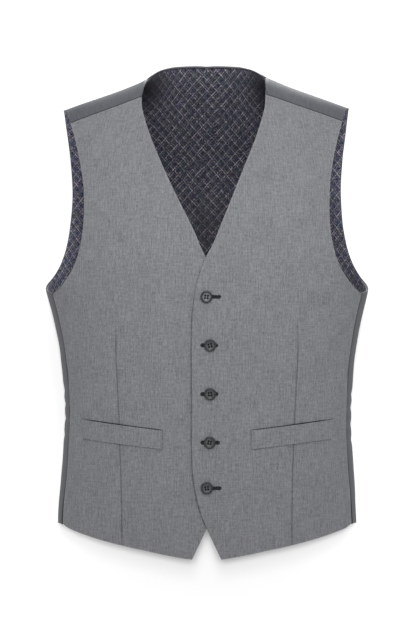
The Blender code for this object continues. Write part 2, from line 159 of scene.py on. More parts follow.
BACK_ARMHOLE_ROWS = [
    # x, z
    (208.0, -243.2),
    (202.5, -235.0),
    (194.2, -218.9),
    (186.4, -194.8),
    (181.3, -162.7),
    (179.0, -122.0),
    (180.2, -78.0),
    (182.6, -46.0),
    (184.5, -18.0),
]
BACK_NECK_ROWS = [
    # x, z
    (0.0, 43.6),
    (12.0, 44.1),
    (29.1, 43.2),
    (44.9, 40.9),
    (58.6, 35.9),
    (65.5, 31.7),
    (73.0, 25.8),
    (78.5, 21.7),
]
BACK_HEM_ROWS = [
    # share of the way from the centre back to the side seam, z
    (0.0, -562.0),
    (0.5, -560.5),
    (1.0, -556.0),
]
# The satin rolls over the edge of the back neck and comes down inside it, in front of the lining.
NECK_ROLL_ROWS = [
    # x of the edge, how far the roll comes down, how far it comes in
    (0.0, 2.7, 4.2),
    (48.0, 2.3, 4.0),
    (60.0, 1.1, 2.8),
    (71.0, 0.8, 2.4),
    (75.5, 1.4, 2.6),
    (79.0, 3.0, 3.4),
]
ROLL_FADE = 0.8  # below 1, the roll keeps its size for longer on its way down to the shoulder seam
ROLL_LEAST = 0.1  # how much of its width is left there
LINING_SHORT = 2.2 * MM  # how far below the roll's crest the lining ends
LINING_SHORT_X = (80 * MM, 86 * MM)  # where that comes to nothing
SIDE_SEAM_SHARE = 0.951
SIDE_SEAM_SWING = 0.006  # how much further out it runs low down
SIDE_SEAM_SWING_Z = (-480 * MM, -530 * MM)
UNDERARM_Z = -258.5 * MM
ARMPIT_Z = -251.2 * MM
ARMHOLE_CORNER_Z = -227 * MM
YOKE_MIDDLE_Z = -236 * MM
VENT_HEIGHT = 42 * MM
VENT_SPREAD = 1.0 * MM

DART_ROWS = [
    # z, x, depth of the soft furrow
    (-600, 107.0, 1.2),
    (-513, 107.5, 1.2),
    (-456, 109.5, 1.0),
    (-420, 110.7, 1.2),
    (-371, 113.0, 1.4),
    (-330, 114.6, 0.9),
    (-292, 114.9, 0.0),
]
DART_HALF_WIDTH = 9 * MM
DART_SEAM_DEPTH = 0.7 * MM  # the sewn line itself bites in this much more
DART_SEAM_HALF_WIDTH = 1.1 * MM
DART_FULL_DEPTH = 1.2 * MM  # where its furrow is shallower, its seam fades too
# How dark the painted shade along the dart's sewn line is.
DART_SHADE_STRENGTH = 1.6
TUCK_DEPTH = FRONT_WALL + GAP + 0.1 * MM
TUCK_START_X = 62 * MM
TUCK_END_X = 24 * MM

WELT_TOP = ((55.8, -431.2), (160.3, -419.0))
WELT_BOTTOM = ((55.5, -455.0), (157.0, -443.7))
WELT_GAPE = 0.9 * MM
WELT_FURROW = 0.35  # how much of the dart's furrow shows at its foot
MOUTH_ABOVE_WELT = 0.3 * MM
MOUTH_ROWS = [
    # share of the way out along the pocket's mouth, half width of its painted shadow, how dark it is
    (0.0, 0.4, 0.0),
    (0.02, 0.7, 0.95),
    (0.10, 0.85, 1.1),
    (0.24, 0.8, 1.05),
    (0.36, 0.8, 1.0),
    (0.50, 0.9, 1.05),
    (0.66, 1.1, 1.12),
    (0.84, 1.05, 1.08),
    (0.93, 0.6, 0.7),
    (1.0, 0.4, 0.4),
    (1.02, 0.4, 0.0),
]
WELT_LINE_ROWS = [
    # how far past each line of painted shade on the welt its shade starts, and how dark it is
    (0.0, 0.35),  # inner end
    (0.5, 0.2),  # outer end
    (0.15, 0.22),  # foot
    (0.3, 0.5),  # stitches
]
WELT_STITCH = 2.2 * MM  # from the inner end of the welt to the stitches that hold it down
FAR = 9.0  # millimetres, past the reach of every shaded line
# The cleft beside the buttoned edge: how fast its painted shade fades, and where it starts on each front and by
# the V.
CLEFT_SCALE = 0.75
CLEFT_START = {1: 0.3, -1: 0.0}
CLEFT_TOP_START = 0.26
CLEFT_TOP_Z = (-280 * MM, -240 * MM)

CREASE_BEND = 0.06  # how far each crease bows to one side, as a share of its length
CALM_SHOULDER_Z = (-100 * MM, -20 * MM)  # creases and swells die away between these
# Soft creases: a line on the cloth, how far each side it spreads and how deep it is. A ridge has a minus.
FRONT_CREASE_ROWS = [
    # start x, start z, end x, end z, half width, depth
    (-60.0, -236.0, -18.0, -262.0, 13.0, 0.7),
    (58.0, -240.0, 12.0, -266.0, 14.0, 0.8),
    (70.0, -300.0, 14.0, -322.0, 12.0, 0.5),
    (-78.0, -305.0, -20.0, -326.0, 13.0, 0.5),
    (150.0, -262.0, 118.0, -318.0, 15.0, 1.1),
    (-152.0, -266.0, -121.0, -322.0, 16.0, 1.0),
    (172.0, -300.0, 128.0, -352.0, 12.0, -0.6),
    (-174.0, -306.0, -132.0, -356.0, 13.0, -0.6),
    (180.0, -356.0, 132.0, -372.0, 11.0, 0.8),
    (-181.0, -352.0, -134.0, -376.0, 12.0, 0.8),
    (178.0, -398.0, 140.0, -404.0, 10.0, -0.6),
    (-178.0, -392.0, -138.0, -402.0, 10.0, -0.6),
    (130.0, -468.0, 150.0, -548.0, 18.0, 0.7),
    (-132.0, -470.0, -150.0, -545.0, 18.0, 0.7),
    (66.0, -470.0, 60.0, -575.0, 20.0, -0.6),
    (-64.0, -474.0, -58.0, -570.0, 20.0, -0.6),
    (120.0, -60.0, 128.0, -170.0, 20.0, 0.8),
    (-122.0, -58.0, -130.0, -166.0, 20.0, 0.8),
]
BACK_CREASE_ROWS = [
    # start x, start z, end x, end z, half width, depth
    (22.0, -60.0, 14.0, -210.0, 14.0, 1.8),
    (-34.0, -80.0, -26.0, -225.0, 15.0, 1.5),
    (150.0, -120.0, 84.0, -250.0, 17.0, 2.4),
    (-150.0, -132.0, -90.0, -262.0, 18.0, 2.2),
    (112.0, -96.0, 58.0, -190.0, 15.0, -1.2),
    (-116.0, -104.0, -60.0, -204.0, 15.0, -1.3),
    (172.0, -288.0, 84.0, -340.0, 13.0, 2.4),
    (-173.0, -280.0, -80.0, -330.0, 13.0, 2.3),
    (160.0, -322.0, 66.0, -362.0, 11.0, -1.4),
    (-158.0, -316.0, -70.0, -366.0, 11.0, -1.3),
    (164.0, -372.0, 50.0, -396.0, 11.0, 2.6),
    (-166.0, -366.0, -44.0, -400.0, 12.0, 2.4),
    (150.0, -420.0, 34.0, -426.0, 10.0, 2.1),
    (-152.0, -414.0, -30.0, -434.0, 11.0, 2.2),
    (120.0, -446.0, 28.0, -452.0, 12.0, -1.1),
    (-118.0, -448.0, -34.0, -458.0, 12.0, -1.0),
    (166.0, -458.0, 118.0, -548.0, 16.0, 1.8),
    (-167.0, -452.0, -122.0, -545.0, 16.0, 1.8),
    (66.0, -474.0, 76.0, -556.0, 17.0, 1.5),
    (-58.0, -478.0, -72.0, -556.0, 18.0, 1.4),
    (172.0, -386.0, 192.0, -389.0, 4.5, 1.1),
    (174.0, -408.0, 192.0, -404.0, 4.0, 1.3),
    (172.0, -425.0, 192.0, -428.0, 4.5, 1.0),
    (174.0, -449.0, 192.0, -446.0, 5.0, 0.9),
    (-172.0, -381.0, -192.0, -385.0, 5.0, 1.0),
    (-174.0, -400.0, -192.0, -403.0, 4.0, 1.2),
    (-172.0, -423.0, -192.0, -420.0, 4.0, 1.2),
    (-174.0, -441.0, -192.0, -444.0, 5.0, 0.9),
]
# The lining also stands off the back in folds of its own.
LINING_FOLD_ROWS = [
    # start x, start z, end x, end z, half width, height
    (21.0, 4.0, 13.0, -40.0, 5.5, 2.2),
    (17.0, -22.0, -9.0, -104.0, 6.0, 3.0),
    (-4.0, -84.0, -17.0, -142.0, 6.5, 2.4),
    (-44.0, -10.0, -36.0, -96.0, 12.0, 1.4),
    (52.0, -24.0, 44.0, -130.0, 13.0, 1.6),
    (-14.0, 30.0, -6.0, -24.0, 8.0, 0.9),
    (4.0, -120.0, -4.0, -250.0, 10.0, 2.0),
    (120.0, -110.0, 70.0, -240.0, 14.0, 2.2),
    (-118.0, -112.0, -72.0, -236.0, 14.0, 2.0),
    (150.0, -330.0, 60.0, -372.0, 12.0, 2.2),
    (-150.0, -324.0, -62.0, -376.0, 12.0, 2.2),
]
LINING_FOLD_Y = (5 * MM, 35 * MM)  # they grow between these depths
# How the garment sits a little unevenly: outwards at the sides by height, and up at the shoulders and hem.
SET_OUT_ROWS = [
    # z, wearer's right, wearer's left
    (-600, -0.4, 0.3),
    (-545, -0.6, 0.3),
    (-500, -1.2, 0.4),
    (-450, -1.4, 0.9),
    (-400, -1.6, 1.4),
    (-355, -1.8, 1.1),
    (-300, -1.5, 0.8),
    (-255, -1.0, 0.0),
    (-225, -0.6, -0.8),
    (-180, 0.0, -0.6),
    (-100, 0.0, -0.6),
    (-60, 1.0, 0.2),
    (-30, 2.0, 0.6),
    (45, 2.0, 0.6),
]
SET_OUT_X = (120 * MM, 170 * MM)  # it comes in between these
SET_UP_AT_SHOULDER = {1: 0.7 * MM, -1: -2.0 * MM}
SHOULDER_SET_X = (66 * MM, 86 * MM)
SHOULDER_SET_Z = (-120 * MM, -60 * MM)
HEM_SET_Z = (-600 * MM, -480 * MM)
SET_UP_AT_HEM_ROWS = [
    # x, up
    (-190, 2.3),
    (-187, 1.8),
    (-184, -0.2),
    (-180, -1.5),
    (-170, -1.5),
    (-155, -0.6),
    (-125, 0.4),
    (-95, 1.2),
    (-78, 1.5),
    (-60, 1.0),
    (-45, 0.4),
    (-33, -0.6),
    (-18, -0.9),
    (18, -0.9),
    (28, -0.4),
    (42, 0.6),
    (58, 1.1),
    (73, 1.8),
    (90, 1.6),
    (118, 0.9),
    (135, 0.4),
    (150, 0.0),
    (165, -0.5),
    (180, -0.6),
    (184, 0.9),
    (187, 2.6),
    (190, 3.0),
]
# Slow swells that keep the cloth from looking machined: amplitude in millimetres and waves per metre.
SWELL_ROWS = [
    # amplitude, waves across, waves up, start
    (0.30, 7.1, 3.3, 0.4),
    (0.22, -12.7, 5.9, 1.9),
    (0.18, 4.3, -11.2, 3.1),
    (0.12, 19.7, 8.1, 5.2),
    (0.10, -9.1, 21.3, 2.6),
]

# Painted shade where two pieces of satin are sewn together, and on the roll of the neck.
CENTRE_SEAM_START = 2.2  # how far off, in millimetres, the shade of a finer seam starts
SHOULDER_SEAM_START = 1.4
VENT_DARKNESS = 0.95
VENT_DARK_Z = (-507 * MM, -535 * MM)
NAPE_X = 40 * MM
ROLL_DARKNESS = 1.5
ROLL_DARK_X = 66 * MM
ROLL_DARK_REACH = 9 * MM
# Light and shade painted onto the lining.
INSIDE_LIGHT = 0.92
EDGE_LIGHTS = ((0.58, 42 * MM), (0.3, 12 * MM))  # what an open edge adds, and how far in it reaches
# Painted shade on the inside of the fronts.
FACING_SHADE = 0.75  # on the inside of the fronts
CORNER_LOSS = 0.78  # at the corner where it turns under the neck
CORNER_LOSS_REACH = 30 * MM
CORNER_BLUR = 0.75
CORNER_BLUR_REACH = 26 * MM
ARMHOLE_X = (120 * MM, 160 * MM)  # from the neck's opening to an armhole's
ARMHOLE_BLUR = 0.3
ARMHOLE_GAIN = {1: 0.9, -1: 1.3}
ARMHOLE_LOSS = {1: 0.34, -1: 0.15}  # how much of it is lost low down at each armhole
LOW_LOSS = 0.42
LOW_Z = (-100 * MM, -180 * MM)

BUTTON_ROWS = [
    # x, z, turned by degrees, buttonhole from x, to x, how pale its dish is, which on the first button is a
    # painted highlight and on the others its own tone
    (-0.4, -263.5, -7.0, -5.2, 15.6, 2.1),
    (4.1, -324.2, 14.0, -5.8, 11.9, 0.95),
    (4.1, -385.3, 4.0, -5.8, 12.1, 0.85),
    (3.5, -446.2, -11.0, -5.6, 13.9, 0.9),
    (0.0, -503.1, 8.0, -5.2, 16.0, 1.0),
]
BUTTON_RADIUS = 7.6 * MM
BUTTON_HEIGHT = 3.2 * MM
BUTTON_STEPS = 56
WELL_RADIUS = 4.7 * MM
WELL_DEPTH = 1.1 * MM
HOLE_RADIUS = 1.05 * MM
HOLE_SPACING = 3.3 * MM
BUTTON_THREAD_RADIUS = 0.3 * MM
BUTTON_THREAD_SHIFT = 0.22 * MM  # from the middle of a hole to each of its two threads
SHANK_RADIUS = 1.6 * MM
BUTTON_SHARP_ANGLE = math.radians(50)
BUTTON_WELD_DISTANCE = 0.01 * MM
HOLE_STEPS = 20
SLIT_HALF_WIDTH = 0.28 * MM
SLIT_END_CELLS = 7
STITCH_SEED = 40
STITCH_JITTER = 0.08
STITCH_REACH = 0.86  # of the stitch length, along the slit
STITCH_REACH_GAIN = 0.22  # what is added to it at the slit's ends
STITCH_REACH_ZONE = 2.6 * MM  # how far from each end that comes to nothing
# share of the way along a stitch, millimetres above the cloth
STITCH_ROWS = ((0.0, 0.05), (0.15, 0.52), (0.6, 0.5), (1.0, 0.0))

SWEEP_WIDTH = 8.0
VIEW_HEIGHT = 0.78  # how much the camera takes in at the chest
VIEW_CENTRE = (1.5 * MM, -0.125, -282.5 * MM)

# How finely the panels are divided.
FRONT_SAMPLES = 240  # across a front, before its columns are laid along the dart
FRONT_ROWS_BELOW = 112
FRONT_ROWS_ABOVE = 106
FRONT_COLUMNS_TO_DART = 62
FRONT_COLUMNS_AT_DART = 14  # on each side of it
FRONT_COLUMNS_PAST_DART = 40
DART_BAND = 7 * MM
BACK_COLUMNS_INSIDE = 66
BACK_COLUMNS_OUTSIDE = 34
BACK_ROWS_BELOW = 96
BACK_ROWS_ABOVE = 84
CAP_ROWS = 12
NECK_ROLL_STEPS = 6
SEAM_POINTS = 60  # on each seam that is drawn from end to end
SHOULDER_CROWDING = 1.6  # above 1, the cells shrink towards the shoulder line
EDGE_CELL = 0.004
CAP_EDGE_CELL = 8 * EDGE_CELL
UNDERARM_SHARE = 0.5
NECK_SHARE = 0.4  # how much of the back's width ends at the neckline
WELT_COLUMNS = 150
WELT_ROWS = 32
WELD_DISTANCE = 0.005 * MM
ROUNDING_STEPS = 3
ROUNDING_ANGLE = math.radians(60)


# The figure.


def smooth_step(value, start=0.0, end=1.0):
    """Rises smoothly from 0 where the value is start to 1 where it is end."""
    share = np.clip((value - start) / (end - start), 0.0, 1.0)
    return share * share * (3 - 2 * share)


def bell(distance, reach):
    """1 in the middle, falling away smoothly on both sides over the reach."""
    return np.exp(-((distance / reach) ** 2))


def through_rows(rows, column, z):
    """A value at height z, on a smooth line through a table's rows, which are sorted by their first column."""
    heights = np.array([row[0] for row in rows]) * MM
    values = np.array([row[column] for row in rows]) * MM
    z = np.clip(z, heights[0], heights[-1])
    spans = np.diff(heights)
    slopes = np.diff(values) / spans
    inner = (slopes[:-1] * spans[1:] + slopes[1:] * spans[:-1]) / (spans[1:] + spans[:-1])
    tangents = np.concatenate([slopes[:1], inner, slopes[-1:]])
    i = np.clip(np.searchsorted(heights, z) - 1, 0, len(spans) - 1)
    s = (z - heights[i]) / spans[i]
    rise = smooth_step(s)
    swing = spans[i] * s * (1 - s) * ((1 - s) * tangents[i] - s * tangents[i + 1])
    return values[i] * (1 - rise) + values[i + 1] * rise + swing


def half_width(z):
    return through_rows(FIGURE_ROWS, 1, z)


def ridge_height(x):
    """The height of the shoulder line, which turns up into the neck."""
    x = np.abs(x)
    x = np.where(x < NECK_ROUND_X, (x * x / NECK_ROUND_X + NECK_ROUND_X) / 2, x)
    slope = SHOULDER_TIP_Z + SHOULDER_SLOPE * (SHOULDER_TIP_X - x)
    hollow = SHOULDER_HOLLOW * np.maximum(0.0, SHOULDER_HOLLOW_X - x) ** 2
    return slope + hollow + NECK_RISE * np.maximum(0.0, NECK_FOOT_X - x) ** 2


def depth_share(turn, z, crest_z):
    """How much of the figure's depth is left at this turn and height."""
    across = np.abs(np.sin(turn))
    round_the_side = np.maximum(0.0, 1 - across**SECTION_POWER) ** (1 / SECTION_POWER)
    rise = np.clip((z - crest_z) / (ridge_height(half_width(z) * across) - crest_z), 0.0, 1.0)
    return round_the_side * np.sqrt(1 - rise * rise)


def front_point(turn, z):
    x = half_width(z) * np.sin(turn)
    y = -through_rows(FIGURE_ROWS, 2, z) * depth_share(turn, z, FRONT_CREST_Z)
    return np.stack([x, y, z], axis=-1)


def back_point(turn, z):
    """The same for the back, whose turn passes a quarter where the cloth comes round to the front."""
    x = half_width(z) * np.sin(turn)
    behind = through_rows(FIGURE_ROWS, 3, z) * depth_share(turn, z, BACK_CREST_Z)
    before = -through_rows(FIGURE_ROWS, 2, z) * depth_share(turn, z, FRONT_CREST_Z)
    return np.stack([x, np.where(turn <= math.pi / 2, behind, before), z], axis=-1)


def turn_of(x, z):
    return np.arcsin(np.clip(x / half_width(z), -1.0, 1.0))


def seam_turn(z, clearance):
    """The side seam's turn on the front of the figure, moved towards the middle front by a clearance."""
    turn = np.arcsin(SIDE_SEAM_SHARE + SIDE_SEAM_SWING * smooth_step(z, *SIDE_SEAM_SWING_Z))
    step = 0.001
    length = np.linalg.norm(front_point(turn + step, z) - front_point(turn, z), axis=-1) / step
    return turn - clearance / length


# Curves and patches.


def smooth_curve(points, steps=10):
    """Points on a Catmull-Rom curve through the given ones."""
    points = np.asarray(points, float)
    padded = np.vstack([2 * points[0] - points[1], points, 2 * points[-1] - points[-2]])
    found = []
    for i in range(len(points) - 1):
        before, start, end, after = padded[i : i + 4]
        chord = np.linalg.norm(end - start)
        leave = (end - before) * chord / (chord + np.linalg.norm(start - before))
        arrive = (after - start) * chord / (chord + np.linalg.norm(after - end))
        for s in np.arange(steps) / steps:
            rise = smooth_step(s)
            swing = s * (1 - s) * ((1 - s) * leave - s * arrive)
            found.append(start * (1 - rise) + end * rise + swing)
    found.append(points[-1])
    return np.array(found)


def along(curve, shares):
    """Points at the given shares of a curve's length."""
    lengths = np.concatenate([[0], np.cumsum(np.linalg.norm(np.diff(curve, axis=0), axis=1))])
    at = np.asarray(shares) * lengths[-1]
    return np.stack([np.interp(at, lengths, curve[:, k]) for k in range(curve.shape[1])], axis=-1)


class Border:
    """One border of a patch: curves end to end, which meet at the given shares of it."""

    def __init__(self, curves, joints=()):
        self.curves = curves
        self.joints = [0.0, *joints, 1.0]

    def at(self, shares):
        shares = np.asarray(shares, float)
        found = np.zeros((len(shares), self.curves[0].shape[1]))
        for curve, start, end in zip(self.curves, self.joints, self.joints[1:]):
            inside = (shares >= start) & (shares <= end)
            found[inside] = along(curve, (shares[inside] - start) / (end - start))
        return found


def patch(bottom, top, inner, outer, u, v):
    """A Coons patch between four borders, as an array of rows of (turn, z)."""
    low, high = bottom.at(u)[None, :, :], top.at(u)[None, :, :]
    near, far = inner.at(v)[:, None, :], outer.at(v)[:, None, :]
    u, v = np.asarray(u)[None, :, None], np.asarray(v)[:, None, None]
    foot, head = ((1 - u) * edge[:, :1] + u * edge[:, -1:] for edge in (low, high))
    return (1 - u) * near + u * far + (1 - v) * low + v * high - ((1 - v) * foot + v * head)


def split(count, first=0.0, last=0.0):
    """Shares from 0 to 1 in even cells, with a narrow one at either end where asked."""
    inner = first + np.linspace(0.0, 1.0, count + 1) * (1 - first - last)
    return np.concatenate([[0.0] if first else [], inner, [1.0] if last else []])


def crowded(count):
    """Shares from 0 to 1 whose cells grow smaller towards 1, where the cloth turns over the shoulder."""
    return 1 - (1 - np.linspace(0.0, 1.0, count + 1)) ** SHOULDER_CROWDING


def at_turns(x, z):
    """A curve of turns and heights from one of x and z."""
    return np.stack([turn_of(x, z), z], axis=-1)


def to_turns(rows):
    """The same from a table's x and z, with a smooth line through them."""
    return at_turns(*smooth_curve(np.array(rows) * MM).T)


class ClothMap:
    """Where a place on the figure lies on the flat cloth: metres across from the middle and metres up."""

    LOWEST, HIGHEST, CELL = -0.62, 0.10, 0.004
    TURNS = 240

    def __init__(self, point_at, last_turn):
        self.last_turn = last_turn
        turns = np.linspace(0.0, last_turn, self.TURNS)
        heights = np.arange(self.LOWEST, self.HIGHEST + self.CELL, self.CELL)
        points = point_at(*np.meshgrid(turns, heights))
        across = np.linalg.norm(np.diff(points, axis=1), axis=-1)
        up = np.minimum(np.linalg.norm(np.diff(points, axis=0), axis=-1), 3 * self.CELL)
        self.across = np.pad(np.cumsum(across, axis=1), ((0, 0), (1, 0)))
        self.up = np.pad(np.cumsum(up, axis=0), ((1, 0), (0, 0)))

    def at(self, turns):
        turn, z = np.abs(turns[..., 0]), turns[..., 1]
        column = np.clip(turn / self.last_turn * (self.TURNS - 1), 0, self.TURNS - 1.001)
        row = np.clip((z - self.LOWEST) / self.CELL, 0, len(self.up) - 1.001)
        i, j = row.astype(int), column.astype(int)
        a, b = row - i, column - j
        found = []
        for table in (self.across, self.up):
            low = (1 - b) * table[i, j] + b * table[i, j + 1]
            high = (1 - b) * table[i + 1, j] + b * table[i + 1, j + 1]
            found.append((1 - a) * low + a * high)
        return np.stack(found, axis=-1)


FRONT_MAP = ClothMap(front_point, math.pi / 2)
BACK_MAP = ClothMap(back_point, math.pi)


# Creases.


def outwards(points):
    """The level direction out of the figure at each point."""
    out = points / MEAN_RADII**2
    return out / np.maximum(np.linalg.norm(out, axis=-1, keepdims=True), 1e-9)


def crease_depth(rows, x, z):
    """How far the cloth sinks at each place, from all the rows of a crease table."""
    total = np.zeros_like(x)
    for start_x, start_z, end_x, end_z, reach, depth in rows:
        run = np.array([end_x - start_x, end_z - start_z]) * MM
        length = np.hypot(*run)
        dx, dz = x - start_x * MM, z - start_z * MM
        share = (dx * run[0] + dz * run[1]) / length**2
        bend = CREASE_BEND * length * np.sin(math.pi * np.clip(share, 0, 1))
        off = (dx * run[1] - dz * run[0]) / length - bend
        fade = smooth_step(share, -0.15, 0.25) * smooth_step(share, 1.15, 0.75)
        total += depth * MM * fade * bell(off, reach * MM)
    return total


def swell_depth(x, z):
    total = np.zeros_like(x)
    for amplitude, across, up, start in SWELL_ROWS:
        total += amplitude * MM * np.sin(math.tau * (across * x + up * z) + start)
    return total


def uneven_set(points, side):
    """How far each point moves so that the garment sits as unevenly as a worn one does."""
    x, z = points[..., 0], points[..., 2]
    column = 1 if side < 0 else 2
    out = through_rows(SET_OUT_ROWS, column, z) * smooth_step(np.abs(x), *SET_OUT_X)
    at_shoulder = smooth_step(np.abs(x), *SHOULDER_SET_X) * smooth_step(z, *SHOULDER_SET_Z)
    at_hem = 1 - smooth_step(z, *HEM_SET_Z)
    up = SET_UP_AT_SHOULDER[side] * at_shoulder + through_rows(SET_UP_AT_HEM_ROWS, 1, x * side) * at_hem
    return np.stack([out * np.sign(x), 0 * x, up], axis=-1)


def creased(points, rows, side):
    """Sinks the cloth along its creases and swells. side is 1 for the wearer's left and -1 for the right."""
    x, z = points[..., 0] * side, points[..., 2]
    depth = (crease_depth(rows, x, z) + swell_depth(x, z)) * (1 - smooth_step(z, *CALM_SHOULDER_Z))
    return points - outwards(points) * depth[..., None] + uneven_set(points, side)


# Fronts.


def neck_pull(z):
    """How far the neckline is drawn across at this height."""
    start = FRONT_EDGE_ROWS[-1][1] * MM
    return NECK_PULL * smooth_step(z, start, start + NECK_PULL_HEIGHT)


def tucked_under(points):
    """Moves the wearer's right front in beneath the left one, where they overlap."""
    points[..., 1] += TUCK_DEPTH * smooth_step(points[..., 0], TUCK_START_X, TUCK_END_X)
    return points


def dart_x(z):
    return through_rows(DART_ROWS, 1, z)


def dart_depth(z):
    return through_rows(DART_ROWS, 2, z)


def darted(points):
    """Moves a front's points in along its dart: a soft furrow, and the sewn line in the middle of it."""
    off, depth = points[..., 0] - dart_x(points[..., 2]), dart_depth(points[..., 2])
    seam = np.minimum(1.0, depth / DART_FULL_DEPTH) * bell(off, DART_SEAM_HALF_WIDTH)
    points[..., 1] += depth * bell(off, DART_HALF_WIDTH) + DART_SEAM_DEPTH * seam
    return points


def mouth_place(points):
    """How far a point lies across the pocket's mouth, in half widths of it, and how dark the mouth's painted
    shade is there.
    """
    (x0, z0), (x1, z1) = np.array(WELT_TOP) * MM
    share = (points[..., 0] - x0) / (x1 - x0)
    shares, widths, darks = np.array(MOUTH_ROWS).T
    above = points[..., 2] - (z0 + share * (z1 - z0)) - MOUTH_ABOVE_WELT
    return above / (np.interp(share, shares, widths) * MM), np.interp(share, shares, darks)


def from_overlap(points, side):
    """How far a point lies from the edge of the buttoned overlap, in the measure of the cleft's painted shade.
    """
    rows = [(z, side * x) for x, z in FRONT_EDGE_ROWS]
    beyond = np.abs(points[..., 0] - through_rows(rows, 1, points[..., 2])) / MM
    start = CLEFT_TOP_START * smooth_step(points[..., 2], *CLEFT_TOP_Z) + CLEFT_START[side]
    return CLEFT_SCALE * beyond + start


def along_rows(points):
    """Each point's distance along its row of the grid, in millimetres."""
    steps = np.linalg.norm(np.diff(points, axis=1), axis=-1) / MM
    return np.pad(np.cumsum(steps, axis=1), ((0, 0), (1, 0)))


def along_columns(points):
    return along_rows(points.swapaxes(0, 1)).T


def from_edges(points):
    """Each point's distance from the nearest edge of its grid, in millimetres along the cloth."""
    across, up = along_rows(points), along_columns(points)
    return np.minimum.reduce([across, across[:, -1:] - across, up, up[-1:] - up])


def columns_on_dart(turns):
    """Resamples each row so that one column runs down the dart, with narrow cells on both sides of it."""
    shares = np.linspace(0.0, 1.0, turns.shape[1])
    found = []
    for row in turns:
        points = front_point(row[:, 0], row[:, 1])
        middle = np.interp(0.0, points[:, 0] - dart_x(points[:, 2]), shares)
        band = DART_BAND / np.linalg.norm(np.diff(points, axis=0), axis=-1).sum()
        stretches = [
            np.linspace(0.0, middle - band, FRONT_COLUMNS_TO_DART, endpoint=False),
            np.linspace(middle - band, middle + band, 2 * FRONT_COLUMNS_AT_DART, endpoint=False),
            np.linspace(middle + band, 1.0, FRONT_COLUMNS_PAST_DART + 1),
        ]
        columns = np.concatenate(stretches)
        found.append(np.stack([np.interp(columns, shares, row[:, k]) for k in (0, 1)], axis=-1))
    return np.array(found)


def front_grid(side):
    """A front's outer points and what its finish needs, drawn for the wearer's left."""
    edge = smooth_curve(np.array(FRONT_EDGE_ROWS + NECKLINE_ROWS) * MM)
    edge[:, 0] += side * neck_pull(edge[:, 1])
    if side < 0:
        edge[:, 0] += UNDER_SLACK * bell(edge[:, 1] - UNDER_SLACK_Z, UNDER_SLACK_REACH)
    tip = np.argmin(np.abs(edge[:, 1] - FRONT_EDGE_ROWS[-1][1] * MM))
    neck_end, shoulder_end = edge[-1], np.array(FRONT_ARMHOLE_ROWS[-1]) * MM
    shoulder = np.linspace(neck_end, shoulder_end, SEAM_POINTS) - (0.0, HALF_SEAM)
    edge, shoulder = at_turns(*edge.T), at_turns(*shoulder.T)
    edge[-1] = shoulder[0]
    armhole = to_turns(FRONT_ARMHOLE_ROWS)
    armhole[-1] = shoulder[-1]
    heights = np.linspace(HEM_ROWS[-1][1] * MM, UNDERARM_Z, SEAM_POINTS)
    side_seam = np.stack([seam_turn(heights, HALF_SEAM), heights], axis=-1)
    armhole[0] = side_seam[-1]
    hem = to_turns(HEM_ROWS)
    hem[-1] = side_seam[0]
    below = split(FRONT_ROWS_BELOW) * UNDERARM_SHARE
    above = UNDERARM_SHARE + split(FRONT_ROWS_ABOVE)[1:] * (1 - UNDERARM_SHARE)
    turns = columns_on_dart(
        patch(
            Border([hem]),
            Border([shoulder]),
            Border([edge[: tip + 1], edge[tip:]], [UNDERARM_SHARE]),
            Border([side_seam, armhole], [UNDERARM_SHARE]),
            split(FRONT_SAMPLES),
            np.concatenate([below, above]),
        )
    )
    points = front_point(turns[..., 0], turns[..., 1])
    z = points[..., 2]
    # Painted shade along the dart's sewn line, the pocket's mouth and the cleft, and a painted highlight on
    # pressed edges.
    off_dart = (points[..., 0] - dart_x(z)) / MM
    dart_shade = np.minimum(1.0, DART_SHADE_STRENGTH * dart_depth(z) / DART_FULL_DEPTH)
    across, mouth = mouth_place(points)
    seams = np.stack([off_dart, dart_shade, from_edges(points)], axis=-1)
    shadows = np.stack([across, mouth, from_overlap(points, side)], axis=-1)
    points = darted(points)
    if side < 0:
        points = tucked_under(points)
    cloth = FRONT_MAP.at(turns)
    cloth[..., 0] *= np.where(turns[..., 0] < 0, -side, side)
    marks = {"seams": seams, "shadows": shadows, "shade": np.full_like(seams, FACING_SHADE)}
    return [creased(points, FRONT_CREASE_ROWS, side)], [cloth], [marks]


# Back and lining.


def armhole_of_back():
    """The edge from the side seam round under the arm and up to the shoulder line, and where it turns up."""
    start = seam_turn(np.array([UNDERARM_Z]), -HALF_SEAM)[0]
    rows = to_turns(BACK_ARMHOLE_ROWS)
    under = smooth_curve([(math.pi - start, UNDERARM_Z), (math.pi / 2, ARMPIT_Z), rows[0]])
    edge = np.concatenate([under[:-1], rows])
    tip_x = BACK_ARMHOLE_ROWS[-1][0] * MM
    edge[-1] = at_turns(tip_x, ridge_height(tip_x))
    return edge, int(np.argmin(np.abs(edge[:, 1] - ARMHOLE_CORNER_Z)))


def centre_seam(low, high):
    return at_turns(HALF_CENTRE_SEAM, np.linspace(low, high, SEAM_POINTS))


def back_below(armhole, corner, yoke):
    """The back below the yoke line and the armhole."""
    hem_z = BACK_HEM_ROWS[-1][1] * MM
    heights = np.linspace(hem_z, UNDERARM_Z, SEAM_POINTS)
    vent = VENT_SPREAD * (1 - smooth_step(heights, hem_z, hem_z + VENT_HEIGHT))
    side_seam = np.stack([math.pi - seam_turn(heights, -HALF_SEAM - vent), heights], axis=-1)
    middle = centre_seam(BACK_HEM_ROWS[0][1] * MM, yoke[0, 1])
    hem = np.array([(share * side_seam[0, 0], z * MM) for share, z in BACK_HEM_ROWS])
    hem[0] = middle[0]
    joint = BACK_COLUMNS_INSIDE / (BACK_COLUMNS_INSIDE + BACK_COLUMNS_OUTSIDE)
    inside = split(BACK_COLUMNS_INSIDE, last=EDGE_CELL) * joint
    outside = joint + split(BACK_COLUMNS_OUTSIDE, last=EDGE_CELL)[1:] * (1 - joint)
    return patch(
        Border([smooth_curve(hem)]),
        Border([yoke, armhole[corner::-1]], [joint]),
        Border([middle]),
        Border([side_seam]),
        np.concatenate([inside, outside]),
        split(BACK_ROWS_BELOW, first=EDGE_CELL, last=EDGE_CELL),
    )


